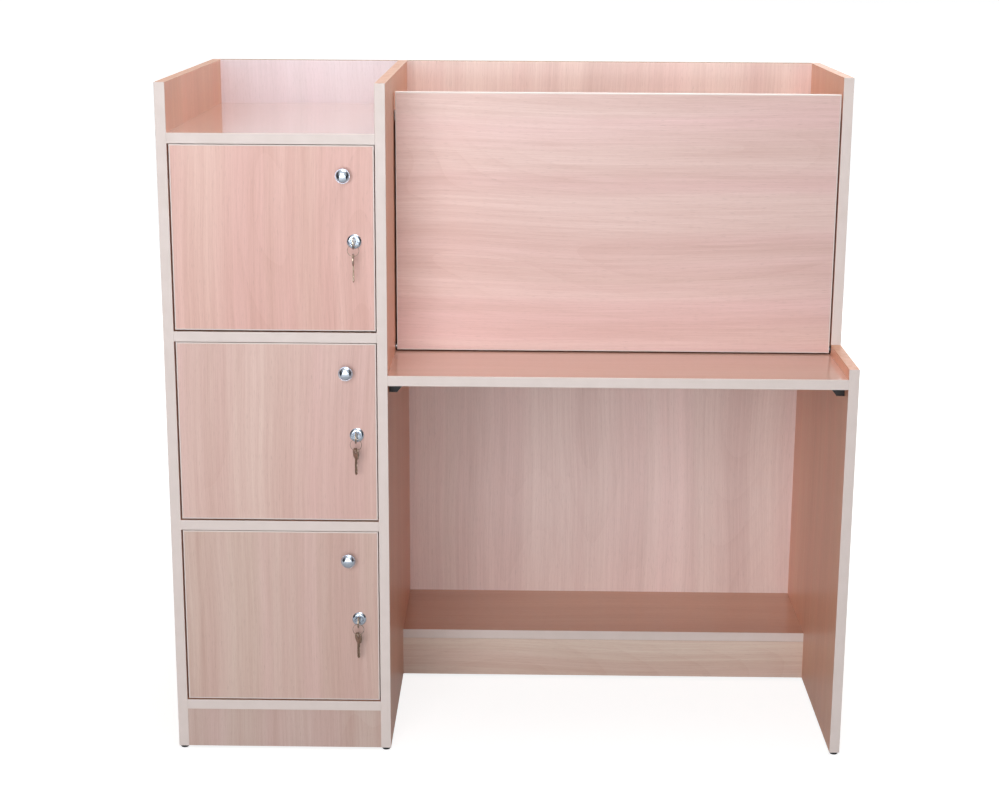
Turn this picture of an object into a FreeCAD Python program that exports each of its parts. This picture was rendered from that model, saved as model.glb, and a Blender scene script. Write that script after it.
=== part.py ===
"""Study desk: a locker column on the left, a writing top with a fall-front hutch on the right.

Millimetres. X runs from left to right, the front faces -Y and Z is up. The origin lies on the floor
at the middle of the desk's whole footprint, hanging keys included.
"""
import FreeCAD
import Part
import Sketcher
import math
import os
import re

Vector = FreeCAD.Vector
Rotation = FreeCAD.Rotation

# Driving sizes: name, value and what it measures
SIZES = [
    ("width", 1200, "over the outer faces of the side panels"),
    ("depth", 600, "from the front edges to the back"),
    ("height", 1200, "from the floor to the top edges of the tall panels"),
    ("board", 18, "thickness of every board but the backs"),
    ("back_board", 18, "thickness of the two backs"),
    ("edge_band", 1, "thickness of the bands glued to the fixed boards"),
    ("leaf_band", 2, "thickness of the bands around the doors and the flap"),
    ("edge_round", 0.7, "rounding along the outer corners of the bands"),
    ("locker_inside", 350, "clear width inside the locker column"),
    ("tray_drop", 84, "from the panel tops down to the tray shelf"),
    ("plinth_height", 72, "height of the plinth under the locker floor"),
    ("plinth_setback", 1, "plinth behind the front edges"),
    ("door_hinge_gap", 3, "gap between a door and the left panel"),
    ("door_lock_gap", 1.5, "gap between a door and the partition"),
    ("door_head_gap", 1, "gap above a door"),
    ("door_foot_gap", 3, "gap under a door"),
    ("desk_height", 700, "from the floor to the writing surface"),
    ("ledge_rise", 18, "low part of the right panel above the writing surface"),
    ("hutch_setback", 200, "front of the flap behind the front edges"),
    ("hutch_drop", 64, "from the panel tops down to the hutch top board"),
    ("foot_shelf_height", 99, "from the floor to the top of the foot shelf"),
    ("foot_setback", 350, "front of the foot shelf behind the front edges"),
    ("flap_drop", 30, "from the panel tops down to the flap's top edge"),
    ("flap_lift", 2.8, "gap under the closed flap"),
    ("flap_side_gap", 3, "gap left and right of the flap"),
    ("flap_rear_gap", 1, "gap between the flap and the hutch top board"),
    ("pivot_inset", 6, "flap pivot from the flap's front face and bottom edge"),
    ("pivot_radius", 2.5, "radius of the flap's pivot pins"),
    ("pivot_bite", 24, "length of a pivot pin inside the flap"),
    ("pivot_end_gap", 0.6, "from a pivot pin's end to the bottom of its hole"),
    ("bush_radius", 5, "outer radius of a pivot bush"),
    ("bush_length", 10, "depth of a pivot bush in its panel"),
    ("bush_flange_radius", 7, "radius of a pivot bush's flange"),
    ("bush_flange", 1, "thickness of a pivot bush's flange"),
    ("running_gap", 0.05, "radial play of pins and plugs in their bores"),
    ("catch_inset", 150, "middle of a magnetic catch from the side of the hutch"),
    ("catch_length", 46, "length of a magnetic catch"),
    ("catch_depth", 16, "depth of a magnetic catch"),
    ("catch_height", 13, "height of a magnetic catch"),
    ("catch_play", 0.3, "gap between a catch and its strike plate"),
    ("strike_length", 40, "length of a strike plate"),
    ("strike_height", 11, "height of a strike plate"),
    ("strike_thickness", 1.5, "thickness of a strike plate"),
    ("glide_radius", 7.5, "radius of a foot glide"),
    ("glide_height", 5, "height of a foot glide under the panels"),
    ("glide_bevel", 1, "bevel around the foot of a glide"),
    ("glide_front_gap", 1, "front glides behind the front edge"),
    ("glide_inset", 32, "middle of a rear glide from the back edge"),
    ("nail_radius", 1.2, "radius of a glide's nail"),
    ("nail_length", 14, "length of a glide's nail in the panel"),
    ("bracket_width", 25, "corner bracket along the desktop"),
    ("bracket_drop", 19, "corner bracket down the panel"),
    ("bracket_foot", 14, "width of a corner bracket at its foot"),
    ("bracket_lip", 5, "wall of a corner bracket"),
    ("bracket_length", 34, "corner bracket from front to back"),
    ("bracket_inset", 35, "corner bracket from the front edge or the back"),
    ("bracket_screw_inset", 9, "bracket screws from the bracket's ends"),
    ("bracket_upright_inset", 11, "upright bracket screw from the bracket's outer end"),
    ("bracket_level_inset", 9.5, "level bracket screw below the desktop"),
    ("connector_inset", 60, "cam connectors from a board's front and back edges"),
    ("bolt_radius", 3, "radius of a connector bolt"),
    ("bolt_bite", 8, "length of a connector bolt in the panel"),
    ("bolt_reach", 34, "from a board's end to the middle of its cam"),
    ("cam_disc_radius", 7.5, "radius of a connector cam"),
    ("cam_disc_height", 12.5, "height of a connector cam"),
    ("screw_radius", 1.75, "radius of a wood screw"),
    ("screw_head_radius", 3.5, "radius of a wood screw's head"),
    ("screw_head", 2, "height of a wood screw's head"),
    ("screw_length", 13, "length of the fittings' wood screws"),
    ("back_screw_length", 45, "length of the screws through the backs"),
    ("back_screw_inset", 70, "screws through the backs from a board's ends"),
    ("hinge_end", 70, "middle of a hinge from the door's top or bottom"),
    ("hinge_edge", 22, "hinge pin from the door's left edge"),
    ("hinge_depth", 11, "hinge pin behind the door's front face"),
    ("hinge_pin_radius", 1.5, "radius of a hinge pin"),
    ("hinge_eye_radius", 2.8, "radius of the eye on a hinge arm"),
    ("cup_radius", 17.5, "outer radius of a hinge cup"),
    ("cup_depth", 11.5, "depth of a hinge cup in the door"),
    ("cup_wall", 1, "wall of a hinge cup"),
    ("cup_flange", 1, "thickness of a hinge cup's flange"),
    ("cup_flange_width", 20, "width of a hinge cup's flange"),
    ("cup_flange_height", 60, "height of a hinge cup's flange"),
    ("cup_screw_inset", 6, "cup screws from the ends of the flange"),
    ("arm_clearance", 0.6, "hinge arm clear of the door's turning corner"),
    ("arm_thickness", 3, "thickness of a hinge arm"),
    ("arm_width", 10, "width of a hinge arm"),
    ("arm_bar", 4, "thickness of a hinge arm's end bar"),
    ("arm_start", 13, "start of a hinge arm's foot behind the pin"),
    ("arm_length", 47, "length of a hinge arm's foot"),
    ("arm_foot", 3.5, "height of a hinge arm's foot on the panel"),
    ("plate_height", 40, "height of a hinge's mounting plate"),
    ("plate_thickness", 2.5, "thickness of a hinge's mounting plate"),
    ("plate_screw_inset", 8, "plate screws from the plate's ends"),
    ("knob_edge", 52, "middle of a knob from the door's right edge"),
    ("knob_drop", 50, "middle of a knob below the door's top edge"),
    ("knob_radius", 12.5, "radius of a knob's head"),
    ("knob_head", 8, "thickness of a knob's head"),
    ("knob_cone", 1.6, "slope at the back of a knob's head"),
    ("knob_dome", 5.5, "rounding of a knob's face"),
    ("knob_length", 22, "length of a knob"),
    ("knob_neck_radius", 5, "radius of a knob's neck"),
    ("knob_foot_radius", 8, "radius of a knob's foot"),
    ("knob_foot", 2.5, "thickness of a knob's foot"),
    ("knob_screw_radius", 2, "radius of a knob's screw"),
    ("knob_screw_bite", 9, "length of a knob's screw in the knob"),
    ("knob_screw_head_radius", 4, "radius of a knob screw's head"),
    ("knob_screw_head", 2.4, "height of a knob screw's head"),
    ("lock_edge", 35, "lock axis from the door's right edge"),
    ("lock_drop", 2.5, "lock axis below the middle of its locker"),
    ("rosette_radius", 12.5, "radius of a lock's rosette"),
    ("rosette_height", 4, "height of a lock's rosette on the door"),
    ("rosette_rim", 1.4, "straight rim of a lock's rosette"),
    ("rosette_slope", 3.2, "sloping band of a lock's rosette"),
    ("barrel_radius", 9, "radius of a lock's barrel"),
    ("barrel_length", 24, "length of a lock's barrel behind the door's face"),
    ("plug_radius", 5.5, "radius of a lock's plug"),
    ("stub_radius", 3, "radius of the plug's stub that carries the cam"),
    ("stub_end", 1, "plug's stub behind the cam"),
    ("nut_radius", 13.5, "corner radius of a lock's nut"),
    ("nut_height", 4, "height of a lock's nut"),
    ("cam_length", 46, "lock axis to the tip of the cam"),
    ("cam_tail", 8, "lock axis to the tail of the cam"),
    ("cam_width", 12, "width of the cam"),
    ("cam_thickness", 2.5, "thickness of the cam"),
    ("cam_corner", 3, "rounding of the cam's corners"),
    ("cam_clearance", 0.4, "cam behind the barrel"),
    ("mortise_depth", 14, "depth of the cam's mortise in the partition"),
    ("mortise_play", 1.5, "room around the cam in its mortise"),
    ("key_thickness", 2, "thickness of a key"),
    ("key_neck", 3, "from the rosette to the key's bow"),
    ("key_play", 0.1, "room around the key in the plug"),
    ("bow_radius", 10.5, "radius of a key's bow"),
    ("bow_hole_radius", 3.5, "radius of the hole in the bow"),
    ("bow_hole_offset", 3.5, "hole from the middle of the bow"),
    ("blade_width", 6.5, "width of a key's blade"),
    ("blade_length", 28, "length of a key's blade from the bow"),
    ("blade_point", 2.5, "length of the blade's point"),
    ("tooth_pitch", 3.5, "spacing of the cuts in the blade"),
    ("tooth_depth", 1.4, "depth of the cuts in the blade"),
    ("tooth_start", 9, "first cut from the bow"),
    ("ring_radius", 9.9, "radius of a key ring at the middle of its wire"),
    ("ring_wire", 0.7, "radius of a key ring's wire"),
    ("ring_play", 0.45, "play between a ring and the key that it hangs on"),
]

# Distance under which two places count as one
TOUCH = 0.001
KEY_TEETH = 4
# Spare keys hang turned by these angles from edge-on
SPARE_KEY_TURN = {"lower": 36, "middle": 30, "upper": 0}

doc = FreeCAD.newDocument("study_desk")
sheet = doc.addObject("Spreadsheet::Sheet", "Sizes")
for row, (size_name, value, note) in enumerate(SIZES, start=1):
    sheet.set(f"A{row}", size_name)
    sheet.set(f"B{row}", str(value))
    sheet.set(f"C{row}", note)
    sheet.setAlias(f"B{row}", size_name)
doc.recompute()
SIZE_NAMES = {size_name for size_name, value, note in SIZES}

# Planes of the desk, as formulas of the driving sizes
LEFT = "(-width / 2)"
LOCKER_LEFT = "(-width / 2 + board)"
LOCKER_RIGHT = f"({LOCKER_LEFT} + locker_inside)"
DESK_LEFT = f"({LOCKER_RIGHT} + board)"
DESK_RIGHT = "(width / 2 - board)"
DESK_INSIDE = f"({DESK_RIGHT} - {DESK_LEFT})"
KEY_HOLE_OUT = "(rosette_height + key_neck + bow_radius + bow_hole_offset)"
FRONT = f"(({KEY_HOLE_OUT} + bow_radius - depth) / 2)"
BACK = f"({FRONT} + depth)"
BACK_INSIDE = f"({BACK} - back_board)"
HUTCH_FRONT = f"({FRONT} + hutch_setback)"
HUTCH_BOARD_FRONT = f"({HUTCH_FRONT} + board + flap_rear_gap)"
FOOT_FRONT = f"({FRONT} + foot_setback)"
LEDGE = "(desk_height + ledge_rise)"
HUTCH_TOP = "(height - hutch_drop)"
LOCKER_FLOOR_TOP = "(glide_height + plinth_height + board)"
TRAY_TOP = "(height - tray_drop)"
OPENING = f"(({TRAY_TOP} - {LOCKER_FLOOR_TOP} - 3 * board) / 3)"
DOOR_LEFT = f"({LOCKER_LEFT} + door_hinge_gap)"
DOOR_RIGHT = f"({LOCKER_RIGHT} - door_lock_gap)"
DOOR_REAR = f"({FRONT} + board)"
PIN_X = f"({DOOR_LEFT} + hinge_edge)"
PIN_Y = f"({FRONT} + hinge_depth)"
LOCK_X = f"({DOOR_RIGHT} - lock_edge)"
FLAP_LEFT = f"({DESK_LEFT} + flap_side_gap)"
FLAP_RIGHT = f"({DESK_RIGHT} - flap_side_gap)"
FLAP_BOTTOM = "(desk_height + flap_lift)"
FLAP_TOP = "(height - flap_drop)"
FLAP_REAR = f"({HUTCH_FRONT} + board)"

# Directions in which a rod or screw points, from its base
ALONG = {
    "right": Rotation(Vector(0, 1, 0), 90),
    "left": Rotation(Vector(0, 1, 0), -90),
    "back": Rotation(Vector(1, 0, 0), -90),
    "front": Rotation(Vector(1, 0, 0), 90),
    "up": Rotation(),
}

# Ways to lay an edge band: its length, its width and its outer face
ON_UPRIGHT_FRONT = Rotation()
ON_UPRIGHT_TOP = Rotation(Vector(1, 0, 0), -90)
ON_LEVEL_FRONT = Rotation(Vector(0, 1, 0), 90)
ON_LEFT_END = Rotation(Vector(0, 0, 1), -90)
ON_RIGHT_END = Rotation(Vector(0, 0, 1), 90)
ON_TOP_END = Rotation(Vector(1, 0, 0), -90).multiply(ON_LEVEL_FRONT)
ON_BOTTOM_END = Rotation(Vector(1, 0, 0), 90).multiply(ON_LEVEL_FRONT)

# Turns a sketch in X and Y into one in Y and Z
AXES_SHIFTED = Rotation(Vector(1, 1, 1), 120)

nodes = []
blanks = {}
bores = {}


def bound(formula):
    """Turn the size names in a formula into references to the sheet."""
    return re.sub(r"[a-z_]+", lambda word: f"Sizes.{word[0]}" if word[0] in SIZE_NAMES else word[0],
                  formula)


def bind(obj, **formulas):
    for prop, formula in formulas.items():
        obj.setExpression(prop, bound(formula))


def place(obj, x, y, z, turn=Rotation()):
    obj.Placement = FreeCAD.Placement(Vector(), turn)
    for axis, formula in zip("xyz", (x, y, z)):
        obj.setExpression(f"Placement.Base.{axis}", bound(formula))
    return obj


def node(name, obj):
    """Hand over an object as one named sub-part."""
    obj.Label = name
    nodes.append(obj)
    return obj


def block(name, x, y, z, size_x, size_y, size_z):
    box = doc.addObject("Part::Box", name)
    bind(box, Length=size_x, Width=size_y, Height=size_z)
    return place(box, x, y, z)


def rod(name, radius, length, x, y, z, along):
    cylinder = doc.addObject("Part::Cylinder", name)
    bind(cylinder, Radius=radius, Height=length)
    return place(cylinder, x, y, z, ALONG[along])


def group(name, members):
    compound = doc.addObject("Part::Compound", name)
    compound.Links = members
    return compound


def fuse(name, members):
    fusion = doc.addObject("Part::MultiFuse", name)
    fusion.Shapes = members
    return fusion


def cut(name, base, tools):
    result = doc.addObject("Part::Cut", name)
    result.Base = base
    result.Tool = tools[0] if len(tools) == 1 else fuse(f"{name}_tools", tools)
    return result


def blank_board(name, *box):
    """A board before it is drilled for its fittings."""
    blanks[name] = block(f"{name}_blank", *box)


def bore(tool, *boards):
    """Sink a fitting, or the room that it needs, into boards."""
    for name in boards:
        bores.setdefault(name, []).append(tool)
    return tool


def new_body(name):
    return doc.addObject("PartDesign::Body", name)


def new_sketch(body, name):
    """An empty sketch on the body's XY plane."""
    sketch = body.newObject("Sketcher::SketchObject", name)
    plane = [feature for feature in body.Origin.OriginFeatures if feature.Role == "XY_Plane"][0]
    sketch.AttachmentSupport = [(plane, "")]
    sketch.MapMode = "FlatFace"
    return sketch


def named(constraint, label):
    constraint.Name = label
    return constraint


def outline(body, name, points):
    """A closed sketch with each corner at its own pair of formulas."""
    sketch = new_sketch(body, name)
    count = len(points)
    turns = [2 * math.pi * i / count for i in range(count)]
    start = [Vector(math.cos(turn), math.sin(turn), 0) for turn in turns]
    for i in range(count):
        sketch.addGeometry(Part.LineSegment(start[i], start[(i + 1) % count]), False)
    constraints = [Sketcher.Constraint("Coincident", i, 2, (i + 1) % count, 1) for i in range(count)]
    formulas = {}
    for i, corner in enumerate(points):
        for kind, along, formula, here in zip(("DistanceX", "DistanceY"), "uv", corner, start[i]):
            constraints.append(named(Sketcher.Constraint(kind, -1, 1, i, 1, here), f"{along}{i}"))
            formulas[f"{along}{i}"] = formula
    sketch.addConstraint(constraints)
    for label, formula in formulas.items():
        sketch.setExpression(f"Constraints.{label}", bound(formula))
    return sketch


def circle(body, name, u, radius):
    """A sketched circle with its middle on the first axis."""
    sketch = new_sketch(body, name)
    sketch.addGeometry(Part.Circle(Vector(1, 0, 0), Vector(0, 0, 1), 1), False)
    sketch.addConstraint([
        Sketcher.Constraint("PointOnObject", 0, 3, -1),
        named(Sketcher.Constraint("DistanceX", -1, 1, 0, 3, 1.0), "u"),
        named(Sketcher.Constraint("Radius", 0, 1.0), "radius"),
    ])
    sketch.setExpression("Constraints.u", bound(u))
    sketch.setExpression("Constraints.radius", bound(radius))
    return sketch


def pad(body, name, sketch, length, midplane=False):
    feature = body.newObject("PartDesign::Pad", name)
    feature.Profile = sketch
    feature.Midplane = midplane
    bind(feature, Length=length)
    return feature


def turned(name, points):
    """A turned piece: its outline, as radius and height, spun about its second axis."""
    body = new_body(name)
    feature = body.newObject("PartDesign::Revolution", f"{name}_turning")
    feature.Profile = outline(body, f"{name}_outline", points)
    feature.ReferenceAxis = (feature.Profile[0], ["V_Axis"])
    feature.Angle = 360
    return body, feature


def round_over(body, feature, radius, picked):
    """Round the edges of a feature that the test picks."""
    feature.Profile[0].recompute()
    feature.recompute()
    names = [f"Edge{i}" for i, edge in enumerate(feature.Shape.Edges, start=1) if picked(edge)]
    fillet = body.newObject("PartDesign::Fillet", f"{feature.Name}_round")
    fillet.Base = (feature, names)
    bind(fillet, Radius=radius)
    return fillet


def is_upright(edge):
    box = edge.BoundBox
    return box.DiagonalLength - box.ZLength < TOUCH


def band(name, length, turn, x, y, z, thickness="edge_band"):
    """One edge band, with its two outer corners rounded over."""
    body = new_body(name)
    corners = [("0", "0"), ("board", "0"), ("board", thickness), ("0", thickness)]
    strip = pad(body, f"{name}_strip", outline(body, f"{name}_outline", corners), length)
    round_over(body, strip, f"min(edge_round; {thickness} * 0.8)",
               lambda edge: is_upright(edge) and edge.BoundBox.YMax < TOUCH)
    return place(body, x, y, z, turn)


def banded_panel(prefix, left, right, bottom, top, front):
    """The core of a panel and the bands on its four edges."""
    rear = f"({front} + board)"
    inner_bottom = f"({bottom} + leaf_band)"
    inner_height = f"({top} - {bottom} - 2 * leaf_band)"
    whole_width = f"({right} - {left})"
    blank_board(f"{prefix}_board", f"{left} + leaf_band", front, inner_bottom,
                f"{whole_width} - 2 * leaf_band", "board", inner_height)
    return [
        band(f"{prefix}_band_top", whole_width, ON_TOP_END, left, rear, top, "leaf_band"),
        band(f"{prefix}_band_bottom", whole_width, ON_BOTTOM_END, left, front, bottom, "leaf_band"),
        band(f"{prefix}_band_left", inner_height, ON_LEFT_END, left, rear, inner_bottom, "leaf_band"),
        band(f"{prefix}_band_right", inner_height, ON_RIGHT_END, right, front, inner_bottom, "leaf_band"),
    ]


def screw(name, x, y, z, along, length):
    """A countersunk wood screw that starts at its head."""
    head = doc.addObject("Part::Cone", f"{name}_head")
    bind(head, Radius1="screw_head_radius", Radius2="screw_radius", Height="screw_head")
    place(head, x, y, z, ALONG[along])
    return fuse(name, [head, rod(f"{name}_shank", "screw_radius", length, x, y, z, along)])


# Uprights: full-depth side panel and partition, and the two backs that stand between the panels
for name, x in (("left_side_panel", LEFT), ("partition_panel", LOCKER_RIGHT)):
    blank_board(name, x, f"{FRONT} + edge_band", "glide_height",
                "board", "depth - edge_band", "height - glide_height - edge_band")
for name, x, length in (("locker_back", LOCKER_LEFT, "locker_inside"),
                        ("desk_back", DESK_LEFT, DESK_INSIDE)):
    blank_board(name, x, BACK_INSIDE, "glide_height",
                length, "back_board", "height - glide_height")

# Right side panel: low in front beside the writing surface, tall beside the hutch
right_body = new_body("right_side_panel_blank")
pad(right_body, "right_side_panel_board", outline(right_body, "right_side_panel_outline", [
    ("edge_band", "glide_height"),
    ("depth", "glide_height"),
    ("depth", "height - edge_band"),
    ("hutch_setback + edge_band", "height - edge_band"),
    ("hutch_setback + edge_band", f"{LEDGE} - edge_band"),
    ("edge_band", f"{LEDGE} - edge_band"),
]), "board")
blanks["right_side_panel"] = place(right_body, DESK_RIGHT, FRONT, "0", AXES_SHIFTED)

# Level boards between the panels, each with a banded front edge
UPPER_SHELF_TOP = f"({LOCKER_FLOOR_TOP} + 2 * ({OPENING} + board))"
LOWER_SHELF_TOP = f"({LOCKER_FLOOR_TOP} + {OPENING} + board)"
LEVEL_BOARDS = [
    ("locker_tray_shelf", LOCKER_LEFT, "locker_inside", FRONT, TRAY_TOP),
    ("locker_upper_shelf", LOCKER_LEFT, "locker_inside", FRONT, UPPER_SHELF_TOP),
    ("locker_lower_shelf", LOCKER_LEFT, "locker_inside", FRONT, LOWER_SHELF_TOP),
    ("locker_floor", LOCKER_LEFT, "locker_inside", FRONT, LOCKER_FLOOR_TOP),
    ("desktop", DESK_LEFT, DESK_INSIDE, FRONT, "desk_height"),
    ("hutch_top_board", DESK_LEFT, DESK_INSIDE, HUTCH_BOARD_FRONT, HUTCH_TOP),
    ("foot_shelf", DESK_LEFT, DESK_INSIDE, FOOT_FRONT, "foot_shelf_height"),
]
front_bands = []
for name, x, length, front, top in LEVEL_BOARDS:
    blank_board(name, x, f"{front} + edge_band", f"{top} - board",
                length, f"{BACK_INSIDE} - {front} - edge_band", "board")
    front_bands.append(band(f"{name}_band", length, ON_LEVEL_FRONT, x, front, top))

# Plinth under the locker floor and rail under the foot shelf
node("locker_plinth", block("locker_plinth", LOCKER_LEFT, f"{FRONT} + plinth_setback", "glide_height",
                            "locker_inside", "board", "plinth_height"))
node("foot_shelf_rail", block("foot_shelf_rail", DESK_LEFT, FOOT_FRONT, "glide_height",
                              DESK_INSIDE, "board", "foot_shelf_height - board - glide_height"))

# Edge bands of the uprights: fronts, and the tops that cover the front bands' ends from behind
for name, x, bottom, top, setback in (
    ("left_side_panel", LEFT, "glide_height", "height", "0"),
    ("partition_panel", LOCKER_RIGHT, "glide_height", "height", "0"),
    ("right_side_panel_low", DESK_RIGHT, "glide_height", LEDGE, "0"),
    ("right_side_panel_tall", DESK_RIGHT, LEDGE, "height", "hutch_setback"),
):
    front_bands.append(band(f"{name}_band", f"{top} - {bottom}", ON_UPRIGHT_FRONT,
                            x, f"{FRONT} + {setback}", bottom))
top_bands = []
for name, x, start, end, top in (
    ("left_side_panel", LEFT, "edge_band", "depth", "height"),
    ("partition_panel", LOCKER_RIGHT, "edge_band", "depth", "height"),
    ("right_side_panel_low", DESK_RIGHT, "edge_band", "hutch_setback + edge_band", LEDGE),
    ("right_side_panel_tall", DESK_RIGHT, "hutch_setback + edge_band", "depth", "height"),
):
    top_bands.append(band(f"{name}_top_band", f"{end} - ({start})", ON_UPRIGHT_TOP,
                          x, f"{FRONT} + {start}", top))
node("front_edging", group("front_edging", front_bands))
node("top_edging", group("top_edging", top_bands))

# Foot glides, nailed under the front and back of the three panels
glides = []
PANELS = [("left_side_panel", LEFT), ("partition_panel", LOCKER_RIGHT), ("right_side_panel", DESK_RIGHT)]
for panel, x in PANELS:
    for end, y in (("front", f"{FRONT} + glide_front_gap + glide_radius"), ("back", f"{BACK} - glide_inset")):
        body, turning = turned(f"{panel}_{end}_glide", [
            ("0", "0"),
            ("glide_radius - glide_bevel", "0"),
            ("glide_radius", "glide_bevel"),
            ("glide_radius", "glide_height"),
            ("nail_radius", "glide_height"),
            ("nail_radius", "glide_height + nail_length"),
            ("0", "glide_height + nail_length"),
        ])
        place(body, f"{x} + board / 2", y, "0", Rotation(Vector(1, 0, 0), 90))
        glides.append(bore(body, panel))
node("foot_glides", group("foot_glides", glides))

# Cam connectors: a bolt in the panel reaches into a cam sunk in the board's underside
cams = []
bolts = []
for name, x, length, front, top in LEVEL_BOARDS:
    if name == "desktop":
        continue
    neighbours = PANELS[:2] if x == LOCKER_LEFT else PANELS[1:]
    for side, (panel, panel_x) in zip(("left", "right"), neighbours):
        for end, y in (("front", f"{front} + connector_inset"),
                       ("back", f"{BACK_INSIDE} - connector_inset")):
            label = f"{name}_{side}_{end}"
            bolt_x = f"{x} - bolt_bite" if side == "left" else f"{x} + {length} - bolt_reach"
            cam_x = f"{x} + bolt_reach" if side == "left" else f"{x} + {length} - bolt_reach"
            bolt = rod(f"{label}_bolt", "bolt_radius", "bolt_bite + bolt_reach",
                       bolt_x, y, f"{top} - board / 2", "right")
            cam = rod(f"{label}_cam", "cam_disc_radius", "cam_disc_height",
                      cam_x, y, f"{top} - board", "up")
            bolts.append(bore(bolt, panel, name))
            cams.append(cut(f"{label}_cam_disc", bore(cam, name), [bolt]))
node("panel_connectors", group("panel_connectors", cams + bolts))

# Corner brackets under the four corners of the desktop, each with one screw up and one sideways
screws = []
brackets = []
DESK_UNDER = "(desk_height - board)"
DESK_SIDES = [("left", "partition_panel", DESK_LEFT, "+"), ("right", "right_side_panel", DESK_RIGHT, "-")]
for side, panel, x, sign in DESK_SIDES:
    for end, y in (("front", f"({FRONT} + bracket_inset)"),
                   ("back", f"({BACK_INSIDE} - bracket_inset - bracket_length)")):
        label = f"{side}_{end}_bracket"
        body = new_body(f"{label}_blank")
        pad(body, f"{label}_gusset", outline(body, f"{label}_outline", [
            ("0", "0"),
            ("bracket_width", "0"),
            ("bracket_width", "-bracket_lip"),
            ("bracket_foot", "-bracket_drop"),
            ("0", "-bracket_drop"),
        ]), "bracket_length")
        upright = Rotation(Vector(1, 0, 0), 90)
        facing_left = Rotation(Vector(0, 0, 1), 180).multiply(upright)
        place(body, x, f"{y} + bracket_length" if sign == "+" else y, DESK_UNDER,
              upright if sign == "+" else facing_left)
        up_at = (f"{x} {sign} (bracket_width - bracket_upright_inset)", f"{y} + bracket_screw_inset")
        well_up = rod(f"{label}_upright_well", "screw_head_radius", "bracket_drop",
                      *up_at, f"{DESK_UNDER} - bracket_lip - bracket_drop", "up")
        screw_up = screw(f"{label}_upright_screw", *up_at, f"{DESK_UNDER} - bracket_lip",
                         "up", "screw_length")
        side_at = (f"{y} + bracket_length - bracket_screw_inset", f"{DESK_UNDER} - bracket_level_inset")
        well_x = f"{x} {sign} bracket_lip" if sign == "+" else f"{x} - bracket_lip - bracket_width"
        well_side = rod(f"{label}_level_well", "screw_head_radius", "bracket_width",
                        well_x, *side_at, "right")
        screw_side = screw(f"{label}_level_screw", f"{x} {sign} bracket_lip", *side_at,
                           "left" if sign == "+" else "right", "screw_length")
        brackets.append(cut(label, body, [well_up, well_side, screw_up, screw_side]))
        screws += [bore(screw_up, "desktop"), bore(screw_side, panel)]
node("corner_brackets", group("corner_brackets", brackets))

# Screws through the backs into the rear edges of the level boards
for name, x, length, front, top in LEVEL_BOARDS:
    back = "locker_back" if x == LOCKER_LEFT else "desk_back"
    across = [f"{x} + back_screw_inset", f"{x} + {length} - back_screw_inset"]
    if back == "desk_back":
        across.append(f"{x} + {length} / 2")
    for i, screw_x in enumerate(across):
        screws.append(bore(screw(f"{name}_back_screw_{i}", screw_x, BACK, f"{top} - board / 2", "front",
                                 "back_screw_length"), back, name))

# Flap in front of the hutch: it turns on two pins near its bottom edge and folds onto the desktop
flap_bands = banded_panel("flap", FLAP_LEFT, FLAP_RIGHT, FLAP_BOTTOM, FLAP_TOP, HUTCH_FRONT)
PIVOT_Y = f"{HUTCH_FRONT} + pivot_inset"
PIVOT_Z = f"{FLAP_BOTTOM} + pivot_inset"
pins = []
bushes = []
for side, panel, face, sign in DESK_SIDES:
    inner_end = f"{face} {sign} (flap_side_gap + pivot_bite)"
    pin_length = "pivot_bite + flap_side_gap + bush_length - pivot_end_gap"
    pin = rod(f"{side}_pivot_pin", "pivot_radius", pin_length, inner_end, PIVOT_Y, PIVOT_Z, side)
    pins.append(bore(pin, "flap_board"))
    sleeve = rod(f"{side}_bush_sleeve", "bush_radius", "bush_length", face, PIVOT_Y, PIVOT_Z, side)
    flange = rod(f"{side}_bush_flange", "bush_flange_radius", "bush_flange",
                 f"{face} {sign} bush_flange", PIVOT_Y, PIVOT_Z, side)
    hole = rod(f"{side}_bush_hole", "pivot_radius + running_gap", "bush_flange + bush_length",
               f"{face} {sign} bush_flange", PIVOT_Y, PIVOT_Z, side)
    bushes.append(cut(f"{side}_bush", fuse(f"{side}_bush_blank", [bore(sleeve, panel), flange]), [hole]))
node("flap_bushes", group("flap_bushes", bushes))
node("flap_pivot_pins", group("flap_pivot_pins", pins))
node("flap_edging", cut("flap_edging", group("flap_bands", flap_bands), pins))

# Magnetic catches under the hutch top board, and their strike plates on the flap
catches = []
strikes = []
HUTCH_UNDER = f"({HUTCH_TOP} - board)"
CATCH_FRONT = f"({FLAP_REAR} + strike_thickness + catch_play)"
for side, middle in (("left", f"{DESK_LEFT} + catch_inset"), ("right", f"{DESK_RIGHT} - catch_inset")):
    catches.append(block(f"{side}_catch", f"{middle} - catch_length / 2", CATCH_FRONT,
                         f"{HUTCH_UNDER} - catch_height", "catch_length", "catch_depth", "catch_height"))
    strikes.append(block(f"{side}_strike", f"{middle} - strike_length / 2", FLAP_REAR,
                         f"{HUTCH_UNDER} - (catch_height + strike_height) / 2",
                         "strike_length", "strike_thickness", "strike_height"))
node("magnetic_catches", group("magnetic_catches", catches))
node("flap_strike_plates", group("flap_strike_plates", strikes))


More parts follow.
